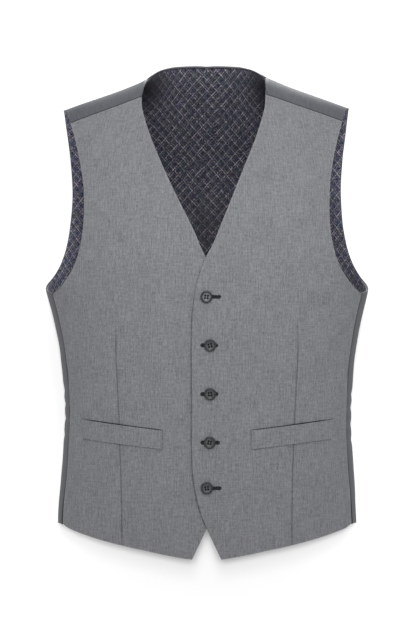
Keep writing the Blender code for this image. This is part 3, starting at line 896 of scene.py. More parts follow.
def back_above(armhole, corner, yoke):
    """The back from the yoke line up to the neckline and shoulder, and the column where the shoulder starts."""
    neck = to_turns(BACK_NECK_ROWS)
    middle = centre_seam(yoke[0, 1], neck[0, 1])
    neck[0] = middle[-1]
    neck[-1, 1] = ridge_height(BACK_NECK_ROWS[-1][0] * MM)
    ridge_x = np.linspace(BACK_NECK_ROWS[-1][0] * MM, BACK_ARMHOLE_ROWS[-1][0] * MM, SEAM_POINTS)
    columns = split(BACK_COLUMNS_INSIDE, last=EDGE_CELL)
    at_neck = int(np.searchsorted(columns, NECK_SHARE))
    turns = patch(
        Border([yoke]),
        Border([neck, at_turns(ridge_x, ridge_height(ridge_x))], [columns[at_neck]]),
        Border([middle]),
        Border([armhole[corner:]]),
        columns,
        crowded(BACK_ROWS_ABOVE),
    )
    return turns, at_neck


def cap_points(ridge, side):
    """Rows from the shoulder line forward to the shoulder seam, one column for each point of the ridge."""
    (neck_x, neck_z), (tip_x, tip_z) = np.array([NECKLINE_ROWS[-1], FRONT_ARMHOLE_ROWS[-1]]) * MM
    neck_x = neck_x + side * NECK_PULL
    x = ridge[:, 0]
    share = (x - x[0]) / (x[-1] - x[0])
    seam_x = neck_x + share * (tip_x - neck_x)
    fall = ridge_height(seam_x) - (neck_z + share * (tip_z - neck_z) + HALF_SEAM)
    rows = [ridge]
    for q in split(CAP_ROWS, last=CAP_EDGE_CELL)[1:]:
        row_x = x + q * (seam_x - x)
        row_z = ridge_height(row_x) - q * q * fall
        rows.append(front_point(turn_of(row_x, row_z), row_z))
    return np.array(rows)


def back_grids(side):
    """The back in four grids: below the yoke line, above it, over the shoulder, and the roll of the neck.

    Each list returned has one entry for each grid: its outer points, their places on the cloth and its marks.
    """
    armhole, corner = armhole_of_back()
    yoke = np.linspace(at_turns(HALF_CENTRE_SEAM, YOKE_MIDDLE_Z), armhole[corner], SEAM_POINTS)
    above_turns, at_neck = back_above(armhole, corner, yoke)
    panels = back_below(armhole, corner, yoke), above_turns
    below, above = (back_point(turns[..., 0], turns[..., 1]) for turns in panels)
    below_cloth, above_cloth = (BACK_MAP.at(turns) for turns in panels)
    cap = cap_points(above[-1, at_neck:], side)
    cap_cloth = np.repeat(above_cloth[-1:, at_neck:], len(cap), axis=0)
    cap_cloth[..., 1] += along_columns(cap) * MM
    rolled, rolled_cloth = neck_roll(above, cap, at_neck, above_cloth, cap_cloth)
    grids = [below, above, cap, rolled]
    cloths = [below_cloth, above_cloth, cap_cloth, rolled_cloth]
    for cloth in cloths:
        cloth[..., 0] *= side
    # Painted shade beside the seams, darker at the vents.
    across, over = along_rows(below), along_columns(cap)
    from_middle = [points[..., 0] / MM + CENTRE_SEAM_START for points in (below, above)]
    # Painted shade darkens the roll at the neck's corner.
    past_nape = rolled[..., 0] > NAPE_X
    from_seams = [
        np.minimum(across[:, -1:] - across, from_middle[0]),
        from_middle[1],
        over[-1:] - over + SHOULDER_SEAM_START,
        np.where(past_nape, 0.0, rolled[..., 0] / MM + CENTRE_SEAM_START),
    ]
    strengths = [1 + VENT_DARKNESS * smooth_step(points[..., 2], *VENT_DARK_Z) for points in grids]
    corner_shade = ROLL_DARKNESS * bell(rolled[..., 0] - ROLL_DARK_X, ROLL_DARK_REACH)
    strengths[3] = np.where(past_nape, corner_shade, strengths[3])
    marks = [{"seams": np.stack([off, dark, off], axis=-1)} for off, dark in zip(from_seams, strengths)]
    return [creased(points, BACK_CREASE_ROWS, side) for points in grids], cloths, marks


def neck_roll(above, cap, at_neck, above_cloth, cap_cloth):
    """The satin rolled over the back neck and on down the inner edge of the shoulder piece, and its place."""
    edge = np.concatenate([above[-1, : at_neck + 1], cap[1:, 0]])
    past = np.concatenate([np.zeros(at_neck + 1), np.linspace(0, 1, len(cap))[1:]])
    fade = (1 - smooth_step(past)) ** ROLL_FADE
    x = np.where(past > 0, above[-1, at_neck, 0], edge[:, 0])
    down = through_rows(NECK_ROLL_ROWS, 1, x) * fade
    inward = through_rows(NECK_ROLL_ROWS, 2, x) * (ROLL_LEAST + (1 - ROLL_LEAST) * fade)
    into = -outwards(edge)
    into[past > 0] = into[at_neck]
    angle = np.linspace(0.0, math.pi / 2, NECK_ROLL_STEPS + 1)[:, None]
    rolled = edge + into * (inward * np.sin(angle))[..., None]
    rolled[..., 2] -= down * (1 - np.cos(angle))
    place = np.concatenate([above_cloth[-1, : at_neck + 1], cap_cloth[1:, 0]])
    place = np.repeat(place[None], len(rolled), axis=0)
    place[..., 1] += along_columns(rolled) * MM
    return rolled, place


def below_neck_roll(points, cloth):
    """Draws the lining's columns in from the neck, so that they end behind the roll."""
    lengths = along_columns(points)
    short = LINING_SHORT / MM * (1 - smooth_step(points[-1, :, 0], *LINING_SHORT_X))
    wanted = lengths * (1 - short / lengths[-1])
    found = []
    for grid in (points, cloth):
        drawn = np.empty_like(grid)
        for c, k in np.ndindex(grid.shape[1:]):
            drawn[:, c, k] = np.interp(wanted[:, c], lengths[:, c], grid[:, c, k])
        found.append(drawn)
    return found


def depth_inside(points, edges, side):
    """The light and shade painted onto the lining, less light far from an open edge, and how clear its pattern
    is.
    """
    places = np.concatenate(edges)
    distance = np.min([np.linalg.norm(points - place, axis=-1) for place in places], axis=0)
    corner = np.linalg.norm(points - np.array(NECK_CORNER) * MM, axis=-1)
    far_out = smooth_step(points[..., 0], *ARMHOLE_X)
    light = INSIDE_LIGHT + sum(gain * np.exp(-distance / reach) for gain, reach in EDGE_LIGHTS)
    light = light * (1 - CORNER_LOSS * bell(corner, CORNER_LOSS_REACH))
    low = smooth_step(points[..., 2], *LOW_Z)
    light = light * (1 - low * (LOW_LOSS * (1 - far_out) + ARMHOLE_LOSS[side] * far_out))
    light = light * (1 + ARMHOLE_GAIN[side] * far_out)
    clear = (1 - ARMHOLE_BLUR * far_out) * (1 - CORNER_BLUR * bell(corner, CORNER_BLUR_REACH))
    return {"shade": np.stack([light, clear, 0 * light], axis=-1)}


def lining_grids(side):
    """The lining is cut like the back, less a narrow strip at its hem, side, armhole and shoulder seam."""
    trimmed = []
    for below, above, cap, _ in back_grids(side)[:2]:
        inside = above.shape[1] - 1
        trimmed.append([below[1:-1, :-1], below[-2:, :inside], above[:, :-1], cap[:-1, :-1]])
    grids, cloths = trimmed
    grids[2], cloths[2] = below_neck_roll(grids[2], cloths[2])
    lifted = []
    for points in grids:
        height = np.maximum(0.0, crease_depth(LINING_FOLD_ROWS, points[..., 0] * side, points[..., 2]))
        height = height * smooth_step(points[..., 1], *LINING_FOLD_Y)
        lifted.append(points - outwards(points) * height[..., None])
    under, _, above, cap = grids
    inside = above.shape[1]
    edges = [above[-1, :inside:3], above[::4, -1], under[-1, inside::3], under[0, ::4]]
    edges += [cap[::3, 0], cap[::3, -1]]
    return lifted, cloths, [depth_inside(points, edges, side) for points in grids]


def welt_grid(side):
    """A welt's inner points: the front's own, with the pocket's mouth standing off a little."""
    u = split(WELT_COLUMNS)[None, :, None]
    v = split(WELT_ROWS)[:, None, None]
    top, bottom = np.array(WELT_TOP) * MM, np.array(WELT_BOTTOM) * MM
    flat = (1 - v) * ((1 - u) * bottom[0] + u * bottom[1]) + v * ((1 - u) * top[0] + u * top[1])
    x, z = flat[..., 0], flat[..., 1]
    turns = at_turns(x, z)
    points = front_point(turns[..., 0], z)
    u, v = u[..., 0], v[..., 0]
    points[..., 1] += WELT_FURROW * dart_depth(z) * bell(x - dart_x(z), DART_HALF_WIDTH) * (1 - v)
    points[..., 1] -= WELT_GAPE * np.sin(math.pi * u) * v * v
    if side < 0:
        points = tucked_under(points)
    cloth = FRONT_MAP.at(turns)
    cloth[..., 0] *= side
    width, height = x[0, -1] - x[0, 0], top[0, 1] - bottom[0, 1]
    from_inner = u * width + 0 * x
    # The welt's edges and stitches get lines of painted shade.
    starts, strengths = np.array(WELT_LINE_ROWS).T
    lines = [from_inner, width - from_inner, v * height + 0 * x, np.abs(from_inner - WELT_STITCH)]
    lines = np.array(lines) / MM + starts[:, None, None]
    strength = strengths[np.argmin(lines, axis=0)]
    far = np.full_like(x, FAR)
    marks = {
        "seams": np.stack([lines.min(axis=0), strength, far], axis=-1),
        "shadows": np.stack([far, 0 * far, far], axis=-1),
    }
    return [creased(points, FRONT_CREASE_ROWS, side)], [cloth], [marks]


# Meshes.


def new_object(name, shape):
    mesh = bpy.data.meshes.new(name)
    shape.to_mesh(mesh)
    shape.free()
    made = bpy.data.objects.new(name, mesh)
    bpy.context.scene.collection.objects.link(made)
    return made


def add_grid(shape, points, cloth, marks):
    """Adds a sheet of cells whose corners are the rows and columns of points, with their places on the cloth.

    marks maps the names of vertex attributes to their values, in rows and columns too.
    """
    rows, columns = points.shape[:2]
    sheet = bmesh.ops.create_grid(shape, x_segments=columns - 1, y_segments=rows - 1, size=0.5)
    uv = shape.loops.layers.uv.verify()
    layers = [(shape.verts.layers.float_vector[name], values) for name, values in marks.items()]
    for vert in sheet["verts"]:
        column = round((vert.co.x + 0.5) * (columns - 1))
        row = round((vert.co.y + 0.5) * (rows - 1))
        vert.co = points[row, column]
        for layer, values in layers:
            vert[layer] = values[row, column]
        place = cloth[row, column]
        for loop in vert.link_loops:
            loop[uv].uv = place


def face_outwards(shape):
    bmesh.ops.recalc_face_normals(shape, faces=shape.faces)
    outward = 0.0
    for face in shape.faces:
        middle = face.calc_center_median()
        outward += face.calc_area() * face.normal.dot(Vector((middle.x, middle.y, 0.0)))
    if outward < 0:
        bmesh.ops.reverse_faces(shape, faces=shape.faces)


def cloth_piece(name, grids, cloths, marks, side, wall, lift, edge_round, materials):
    """A wall of cloth with rounded edges, and its area.

    Its drawn points lie on its outer face, or, if lifted outwards, on its inner one.
    """
    shape = bmesh.new()
    for attribute in marks[0]:
        shape.verts.layers.float_vector.new(attribute)
    for points, cloth, values in zip(grids, cloths, marks):
        add_grid(shape, points * (side, 1, 1), cloth, values)
    bmesh.ops.remove_doubles(shape, verts=shape.verts, dist=WELD_DISTANCE)
    face_outwards(shape)
    piece = new_object(name, shape)
    area = sum(face.area for face in piece.data.polygons)
    piece.data.shade_smooth()
    for material in materials:
        piece.data.materials.append(material)
    if lift:
        shift = piece.modifiers.new("lift", "DISPLACE")
        shift.strength = lift
        shift.mid_level = 0.0
    thickness = piece.modifiers.new("wall", "SOLIDIFY")
    thickness.thickness = wall
    thickness.offset = 1.0 if lift > 0 else -1.0
    if len(materials) > 1:
        thickness.material_offset = 1
    rounding = piece.modifiers.new("rounded_edges", "BEVEL")
    rounding.width = edge_round
    rounding.segments = ROUNDING_STEPS
    rounding.limit_method = "ANGLE"
    rounding.angle_limit = ROUNDING_ANGLE
    return piece, area


def declare_cloth(piece, replaced):
    """Parents the piece to the root empty and hides the CAD part that it stands for."""
    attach(piece, "root")
    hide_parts(replaced)


# Finishes.


def linear(hex_colour):
    """An sRGB hex colour as linear red, green and blue."""
    parts = [int(hex_colour[i : i + 2], 16) / 255 for i in (1, 3, 5)]
    return tuple(c / 12.92 if c <= 0.04045 else ((c + 0.055) / 1.055) ** 2.4 for c in parts)


def fill_inputs(tree, node, inputs):
    """Fills a node's inputs with values, with sockets, or with nodes, whose first output is used."""
    for name, value in inputs.items():
        socket = node.inputs[name]
        if isinstance(value, bpy.types.Node):
            tree.links.new(value.outputs[0], socket)
        elif isinstance(value, bpy.types.NodeSocket):
            tree.links.new(value, socket)
        else:
            socket.default_value = value


def add_node(tree, kind, inputs=None, **settings):
    """Adds a node with its settings, and fills its inputs."""
    made = tree.nodes.new(kind)
    for name, value in settings.items():
        setattr(made, name, value)
    fill_inputs(tree, made, inputs or {})
    return made


def calculate(tree, operation, *values):
    return add_node(tree, "ShaderNodeMath", dict(enumerate(values)), operation=operation)


def ranged(tree, value, start, end, low=0.0, high=1.0, smooth=True):
    """Maps a value so that start becomes low and end becomes high, and stays so beyond them."""
    return add_node(
        tree, "ShaderNodeMapRange",
        {"Value": value, "From Min": start, "From Max": end, "To Min": low, "To Max": high},
        interpolation_type="SMOOTHSTEP" if smooth else "LINEAR",
    )


def mixed(tree, share, first, second, **settings):
    """A mix of two colours, each a socket or red, green and blue."""
    first, second = (c if isinstance(c, bpy.types.NodeSocket) else (*c, 1.0) for c in (first, second))
    made = add_node(tree, "ShaderNodeMix", data_type="RGBA", **settings)
    fill_inputs(tree, made, {0: share, 6: first, 7: second})
    return made.outputs[2]


def scaled(tree, colour, share):
    return add_node(tree, "ShaderNodeVectorMath", {0: colour, "Scale": share}, operation="SCALE").outputs[0]


def cloth_noise(tree, cloth, across, up, detail, roughness=0.5):
    """Noise on the flat cloth, with so many waves of it in a metre across and up."""
    place = add_node(tree, "ShaderNodeMapping", {"Vector": cloth, "Scale": (across, up, 1.0)})
    return add_node(
        tree, "ShaderNodeTexNoise", {"Vector": place, "Scale": 1.0, "Detail": detail, "Roughness": roughness},
        noise_dimensions="2D",
    )


def marked(tree, name):
    """The three values of a vertex attribute."""
    mark = add_node(tree, "ShaderNodeAttribute", attribute_name=name)
    return add_node(tree, "ShaderNodeSeparateXYZ", {0: mark.outputs["Vector"]}).outputs


def bumped(tree, height, strength, distance):
    return add_node(tree, "ShaderNodeBump", {"Height": height, "Strength": strength, "Distance": distance})


def shaded_line(tree, distance, core, reach, darkness, strength=None):
    """A factor that darkens a line. core and reach are the half widths of its dark core and of the whole."""
    line = ranged(tree, calculate(tree, "ABSOLUTE", distance), core, reach, darkness, 0.0)
    if strength is not None:
        line = calculate(tree, "MULTIPLY", line, strength)
    return calculate(tree, "SUBTRACT", 1.0, line)


def new_material(name):
    made = bpy.data.materials.new(name)
    made.use_nodes = True
    return made, made.node_tree, made.node_tree.nodes["Principled BSDF"]


def worsted_wool(settings):
    """Worsted wool suiting, woven from melange yarn and pressed."""
    # Light and dark fibres are spun into every yarn, so the grey is broken into short upright flecks with a
    # fainter crosswise grain, and the pressed surface keeps a dry, slightly fuzzy sheen.
    material, tree, shader = new_material("worsted_wool_melange_woven")
    cloth = add_node(tree, "ShaderNodeUVMap")
    flecks, flecked = [], 0.0
    for across, up, detail, share in (
        # Short flecks, long slubs in the warp, the grain of the weft and slow clouds: waves per metre across
        # and up, detail and share.
        (700.0, 230.0, 2.0, 0.50),
        (640.0, 52.0, 1.0, 0.34),
        (70.0, 640.0, 1.0, 0.24),
        (46.0, 22.0, 2.0, 0.10),
    ):
        flecks.append(cloth_noise(tree, cloth, across, up, detail, 0.55))
        flecked = calculate(tree, "MULTIPLY_ADD", flecks[-1], share, flecked)
    spread = ranged(tree, flecked, 0.36, 0.82, smooth=False)
    yarn = mixed(tree, spread, settings.suiting_dark, settings.suiting_light)
    # Painted shade darkens the dart's sewn line, the pocket's mouth and the cleft by the buttoned edge; pressed
    # edges get a painted highlight.
    seams, shadows = marked(tree, "seams"), marked(tree, "shadows")
    shade = ranged(tree, seams[2], 0.3, 2.6, 1.1, 1.0)
    for line in (
        shaded_line(tree, seams[0], 0.25, 1.2, 0.42, seams[1]),
        shaded_line(tree, shadows[0], 0.5, 1.5, 0.8, shadows[1]),
        shaded_line(tree, shadows[2], 0.3, 1.5, 0.34),
    ):
        shade = calculate(tree, "MULTIPLY", shade, line)
    # A twill, drawn coarser than it is woven so that it still shows, raises the yarns.
    rib_place = add_node(tree, "ShaderNodeMapping", {"Vector": cloth, "Rotation": (0.0, 0.0, math.radians(63))})
    ribs = add_node(
        tree, "ShaderNodeTexWave",
        {"Vector": rib_place, "Scale": 145.0, "Distortion": 1.2, "Detail": 1.0, "Detail Scale": 2.0},
        wave_type="BANDS", bands_direction="X",
    )
    height = calculate(tree, "MULTIPLY_ADD", flecks[0], 1.4, ribs)
    shader_inputs = {
        "Base Color": scaled(tree, yarn, shade),
        "Normal": bumped(tree, height, 0.28, 0.15 * MM),
        "Roughness": 0.86,
        "Specular IOR Level": 0.35,
        "Sheen Weight": 0.05,
        "Sheen Roughness": 0.45,
        "Sheen Tint": (0.9, 0.92, 1.0, 1.0),
    }
    fill_inputs(tree, shader, shader_inputs)
    return material


def back_satin(settings):
    """Polyester satin, warp-faced and calendered."""
    # Long floats lie side by side, so it is smooth and takes a soft, slightly stretched highlight, with only a
    # faint upright grain.
    material, tree, shader = new_material("polyester_satin_calendered")
    cloth = add_node(tree, "ShaderNodeUVMap")
    grain = cloth_noise(tree, cloth, 900.0, 60.0, 2.0)
    cloud = cloth_noise(tree, cloth, 40.0, 40.0, 3.0)
    spread = ranged(tree, calculate(tree, "MULTIPLY_ADD", cloud, 0.35, grain), 0.35, 1.0, smooth=False)
    colour = mixed(tree, spread, settings.satin_dark, settings.satin_light)
    # Painted shade beside its seams, at the vents and on the roll at the neck's corner.
    seams = marked(tree, "seams")
    shade = shaded_line(tree, seams[0], 2.2, 3.8, 0.5, seams[1])
    shader_inputs = {
        "Base Color": scaled(tree, colour, shade),
        "Normal": bumped(tree, grain, 0.12, 0.1 * MM),
        "Roughness": 0.55,
        "Specular IOR Level": 0.15,
    }
    fill_inputs(tree, shader, shader_inputs)
    return material


def trellis_lining(settings):
    """Viscose lining, jacquard woven with a small trellis."""
    # A near-black violet ground is crossed both ways by thin broken pale lines, a strong one and a weak one in
    # each repeat, with a bright fleck where strong lines cross and a darker lozenge between them.
    material, tree, shader = new_material("viscose_lining_jacquard_trellis")
    cloth = add_node(tree, "ShaderNodeUVMap")
    place = add_node(tree, "ShaderNodeSeparateXYZ", {0: cloth}).outputs
    wide = calculate(tree, "DIVIDE", place[0], settings.trellis_width)
    tall = calculate(tree, "DIVIDE", place[1], settings.trellis_height)
    strong, weak, cells = [], [], []
    for operation in ("ADD", "SUBTRACT"):
        slant = calculate(tree, operation, wide, tall)
        share = calculate(tree, "FRACT", calculate(tree, "ADD", slant, 0.5))
        centred = calculate(tree, "SUBTRACT", share, 0.5)
        cells.append(calculate(tree, "ABSOLUTE", centred))
        # Each line's place in the repeat and how far it reaches.
        for found, at, reach in ((strong, 0.0, 0.047), (weak, 0.30, 0.040)):
            off = calculate(tree, "ABSOLUTE", calculate(tree, "SUBTRACT", centred, at))
            found.append(ranged(tree, off, 0.0, reach, 1.0, 0.0))
    # The lines are dashed, and whole stretches of them are fainter than others.
    dash = cloth_noise(tree, cloth, 400.0, 400.0, 1.0, 0.6)
    stretch = cloth_noise(tree, cloth, 75.0, 75.0, 1.0)
    broken = ranged(tree, dash, 0.41, 0.59, 0.12, 1.25)
    faint = ranged(tree, stretch, 0.35, 0.62, 0.45, smooth=False)
    weak_part = calculate(tree, "MULTIPLY", calculate(tree, "MAXIMUM", *weak), 0.5)
    lines = calculate(tree, "MAXIMUM", calculate(tree, "MAXIMUM", *strong), weak_part)
    dashed = calculate(tree, "MULTIPLY", calculate(tree, "MULTIPLY", lines, broken), faint)
    crossed = calculate(tree, "MULTIPLY", calculate(tree, "MULTIPLY", *strong), 0.5)
    whole = calculate(tree, "ADD", dashed, crossed)
    whole.use_clamp = True
    # Painted light and shade, which also dims the pale lines at the neck's corner and in the armholes.
    light = marked(tree, "shade")
    pale = calculate(tree, "MULTIPLY", whole, light[1])
    lozenge = ranged(tree, calculate(tree, "MINIMUM", *cells), 0.16, 0.34)
    ground = mixed(tree, lozenge, settings.lining_ground, settings.lining_lozenge)
    # Its yarns are flecked, and the ground turns a little bluer or browner from place to place.
    fleck = cloth_noise(tree, cloth, 480.0, 480.0, 2.0, 0.6)
    tinted = mixed(tree, 0.25, ground, stretch.outputs["Color"], blend_type="SOFT_LIGHT")
    grained = scaled(tree, tinted, ranged(tree, fleck, 0.36, 0.64, 0.2, 1.9, smooth=False))
    colour = mixed(tree, pale, grained, settings.lining_line)
    height = calculate(tree, "MULTIPLY_ADD", fleck, 0.5, pale)
    shader_inputs = {
        # Painted light and shade: less light reaches it deep inside the garment.
        "Base Color": scaled(tree, colour, light[0]),
        "Normal": bumped(tree, height, 0.2, 0.1 * MM),
        "Roughness": 0.45,
        "Specular IOR Level": 0.2,
        "Sheen Weight": 0.06,
    }
    fill_inputs(tree, shader, shader_inputs)
    return material


def resin(settings):
    """Polyester resin, turned and polished."""
    # Cloudy charcoal with faint paler swirls. The rim is darker than the dish, which keeps a soft polish. The
    # first button's much paler dish is a painted highlight.
    material, tree, shader = new_material("polyester_resin_turned")
    place = add_node(tree, "ShaderNodeTexCoord").outputs["Object"]
    swirl = add_node(
        tree, "ShaderNodeTexNoise",
        {"Vector": place, "Scale": 330.0, "Detail": 3.0, "Roughness": 0.55, "Distortion": 1.4},
    )
    spread = ranged(tree, swirl, 0.35, 0.7, smooth=False)
    colour = mixed(tree, spread, settings.resin_dark, settings.resin_light)
    turned = marked(tree, "turned")
    across = add_node(tree, "ShaderNodeCombineXYZ", {0: turned[0], 1: turned[1]})
    radius = add_node(tree, "ShaderNodeVectorMath", {0: across}, operation="LENGTH").outputs["Value"]
    # A darker rim, and the dish's paleness: a painted highlight on the first button, its own tone on the
    # others.
    dish_and_rim = ranged(tree, radius, 0.6, 0.76, turned[2], 0.2)
    # Painted shade darkens the holes and a thin ring round each.
    folded = add_node(tree, "ShaderNodeVectorMath", {0: across}, operation="ABSOLUTE")
    hole, middle = HOLE_RADIUS / BUTTON_RADIUS, HOLE_SPACING / 2 / BUTTON_RADIUS
    off_hole = add_node(
        tree, "ShaderNodeVectorMath", {0: folded, 1: (middle, middle, 0.0)}, operation="DISTANCE",
    )
    hole_shade = ranged(tree, off_hole.outputs["Value"], 1.1 * hole, 1.5 * hole, 0.02)
    shader_inputs = {
        "Base Color": scaled(tree, colour, calculate(tree, "MULTIPLY", dish_and_rim, hole_shade)),
        "Roughness": 0.4,
        "Specular IOR Level": 0.5,
    }
    fill_inputs(tree, shader, shader_inputs)
    return material


def sewing_thread(settings):
    """Polyester sewing thread, twisted."""
    # Dark and slightly glossy, with fine slanting highlights from its twist.
    material, tree, shader = new_material("polyester_thread_twisted")
    place = add_node(tree, "ShaderNodeTexCoord").outputs["Object"]
    twist = add_node(tree, "ShaderNodeTexNoise", {"Vector": place, "Scale": 2200.0, "Detail": 1.0})
    shader_inputs = {
        "Base Color": mixed(tree, twist, settings.thread_dark, settings.thread_light),
        "Normal": bumped(tree, twist, 0.3, 0.05 * MM),
        "Roughness": 0.6,
        "Specular IOR Level": 0.2,
    }
    fill_inputs(tree, shader, shader_inputs)
    return material


FINISHES = {}


def finish_of(maker, settings):
    """The material that a maker function makes, made once."""
    if maker not in FINISHES:
        FINISHES[maker] = maker(settings)
    return FINISHES[maker]


# Settings.


def colour_property(name, description, hex_colour):
    return bpy.props.FloatVectorProperty(
        name=name, description=description, subtype="COLOR", size=3, min=0.0, max=1.0,
        default=linear(hex_colour),
    )


def number_property(name, description, subtype, default, least=0.0):
    return bpy.props.FloatProperty(
        name=name, description=description, subtype=subtype, default=default, min=least,
    )


class WaistcoatFinish(bpy.types.PropertyGroup):
    suiting_light: colour_property("Suiting light", "Light fibres of the suiting", "#838488")
    suiting_dark: colour_property("Suiting dark", "Dark fibres of the suiting", "#5A5B5D")
    satin_light: colour_property("Satin light", "Lighter grain of the back satin", "#5A5C61")
    satin_dark: colour_property("Satin dark", "Darker grain of the back satin", "#4C4D52")
    lining_ground: colour_property("Lining ground", "Ground of the lining beside its lines", "#35343D")
    lining_lozenge: colour_property("Lining lozenge", "Middle of each lozenge of the lining", "#2D2F3D")
    lining_line: colour_property("Lining line", "Pale lines of the lining", "#B9B6C0")
    resin_light: colour_property("Resin light", "Pale swirls of the buttons", "#53555B")
    resin_dark: colour_property("Resin dark", "Ground of the buttons", "#292A2E")
    thread_light: colour_property("Thread light", "Light side of the thread", "#303135")
    thread_dark: colour_property("Thread dark", "Dark side of the thread", "#0E0F11")
    trellis_width: number_property("Trellis width", "Width of one lozenge", "DISTANCE", 13.1 * MM, MM)
    trellis_height: number_property("Trellis height", "Height of one lozenge", "DISTANCE", 14.6 * MM, MM)


class WaistcoatSewing(bpy.types.PropertyGroup):
    edge_round: number_property("Edge rounding", "How far a folded edge is rounded", "DISTANCE", 0.75 * MM)
    satin_round: number_property(
        "Satin edge rounding", "The same for the back and lining", "DISTANCE", 0.42 * MM,
    )
    stitch_pitch: number_property(
        "Stitch pitch", "From one buttonhole stitch to the next", "DISTANCE", 0.62 * MM, 0.1 * MM,
    )
    stitch_length: number_property(
        "Stitch length", "How far a buttonhole stitch reaches into the cloth", "DISTANCE", 2.0 * MM, 0.1 * MM,
    )
    thread_radius: number_property(
        "Thread radius", "Radius of the buttonhole thread", "DISTANCE", 0.36 * MM, 0.05 * MM,
    )


class WaistcoatStudio(bpy.types.PropertyGroup):
    key_power: number_property("Key light", "Power of the softbox above the camera", "POWER", 0.74)
    top_power: number_property("Top light", "Power of the softbox overhead", "POWER", 3.4)
    back_power: number_property("Back light", "Power of the softbox behind", "POWER", 40.0)
    dome_strength: number_property("Dome", "Strength of the light from all round", "NONE", 0.83)
    backdrop_power: number_property(
        "Backdrop light", "Power of the light that falls on the sweep alone", "POWER", 228.0,
    )
    camera_distance: number_property(
        "Camera distance", "From the camera to the chest", "DISTANCE", 3.0, 0.5,
    )


# Operators.


def make_cloth_pair(kind, grids_of, cut, materials, replaced):
    """Makes the piece of cloth on each side of the body. cut is its wall, its lift and its edges' rounding."""
    for name, side in SIDES:
        piece, area = cloth_piece(f"{kind}_{name}", *grids_of(side), side, *cut, materials)
        declare_cloth(piece, f"{replaced}_{name}")


class WAISTCOAT_OT_fronts(bpy.types.Operator):
    """Make the two fronts, with their darts, pocket mouths and creases"""

    bl_idname = "waistcoat.fronts"
    bl_label = "Fronts"

    def execute(self, context):
        finish, sewing = context.scene.waistcoat_finish, context.scene.waistcoat_sewing
        materials = [finish_of(worsted_wool, finish), finish_of(trellis_lining, finish)]
        cut = FRONT_WALL, 0.0, sewing.edge_round
        make_cloth_pair("front_cloth", front_grid, cut, materials, "front")
        return {"FINISHED"}


class WAISTCOAT_OT_backs(bpy.types.Operator):
    """Make the two satin back panels, which come over the shoulders and round the sides"""

    bl_idname = "waistcoat.backs"
    bl_label = "Back"

    def execute(self, context):
        finish, sewing = context.scene.waistcoat_finish, context.scene.waistcoat_sewing
        cut = BACK_WALL, 0.0, sewing.satin_round
        materials = [finish_of(back_satin, finish)]
        make_cloth_pair("back_cloth", back_grids, cut, materials, "back")
        return {"FINISHED"}


class WAISTCOAT_OT_linings(bpy.types.Operator):
    """Make the lining of the back, with its folds"""

    bl_idname = "waistcoat.linings"
    bl_label = "Back lining"

    def execute(self, context):
        finish, sewing = context.scene.waistcoat_finish, context.scene.waistcoat_sewing
        cut = LINING_WALL, -(BACK_WALL + GAP), sewing.satin_round
        materials = [finish_of(trellis_lining, finish)]
        make_cloth_pair("lining_cloth", lining_grids, cut, materials, "back_lining")
        return {"FINISHED"}


class WAISTCOAT_OT_welts(bpy.types.Operator):
    """Make the welts of the two pockets"""

    bl_idname = "waistcoat.welts"
    bl_label = "Pocket welts"

    def execute(self, context):
        finish, sewing = context.scene.waistcoat_finish, context.scene.waistcoat_sewing
        cut = WELT_WALL, WELT_LIFT, WELT_ROUND_SHARE * sewing.edge_round
        materials = [finish_of(worsted_wool, finish)]
        make_cloth_pair("welt_cloth", welt_grid, cut, materials, "pocket_welt")
        return {"FINISHED"}


def place_on_front(x, z, lift):
    """A matrix that lays a flat thing on the wearer's left front, its own Z looking out and its Y up."""
    turn, step = float(turn_of(x, z)), 0.01
    corners = ((0.0, 0.0), (step, 0.0), (0.0, step))
    middle, beside, above = (Vector(front_point(turn + a, z + b)) for a, b in corners)
    outward = (beside - middle).cross(above - middle).normalized()
    middle = Vector(creased(np.array([x, middle.y, z]), FRONT_CREASE_ROWS, 1))
    rotation = outward.to_track_quat("Z", "Y").to_matrix().to_4x4()
    return Matrix.Translation(middle + outward * lift) @ rotation


def button_profile():
    """The turned outline, from the middle of the well over the rim to the middle of the back."""
    top = BUTTON_HEIGHT
    rim = 0.5 * (WELL_RADIUS + BUTTON_RADIUS)
    return [
        # radius, height
        (0.0, top - WELL_DEPTH),
        (0.6 * WELL_RADIUS, top - WELL_DEPTH),
        (0.9 * WELL_RADIUS, top - 0.93 * WELL_DEPTH),
        (WELL_RADIUS, top - 0.75 * WELL_DEPTH),
        (WELL_RADIUS + 0.45 * MM, top - 0.35 * WELL_DEPTH),
        (rim - 0.35 * MM, top - 0.08 * MM),
        (rim, top),
        (rim + 0.5 * MM, top - 0.05 * MM),
        (BUTTON_RADIUS - 0.5 * MM, top - 0.35 * MM),
        (BUTTON_RADIUS - 0.12 * MM, top - 0.8 * MM),
        (BUTTON_RADIUS, top - 1.3 * MM),
        (BUTTON_RADIUS - 0.2 * MM, 0.9 * MM),
        (BUTTON_RADIUS - 1.0 * MM, 0.3 * MM),
        (BUTTON_RADIUS - 2.4 * MM, 0.0),
        (0.0, 0.0),
    ]


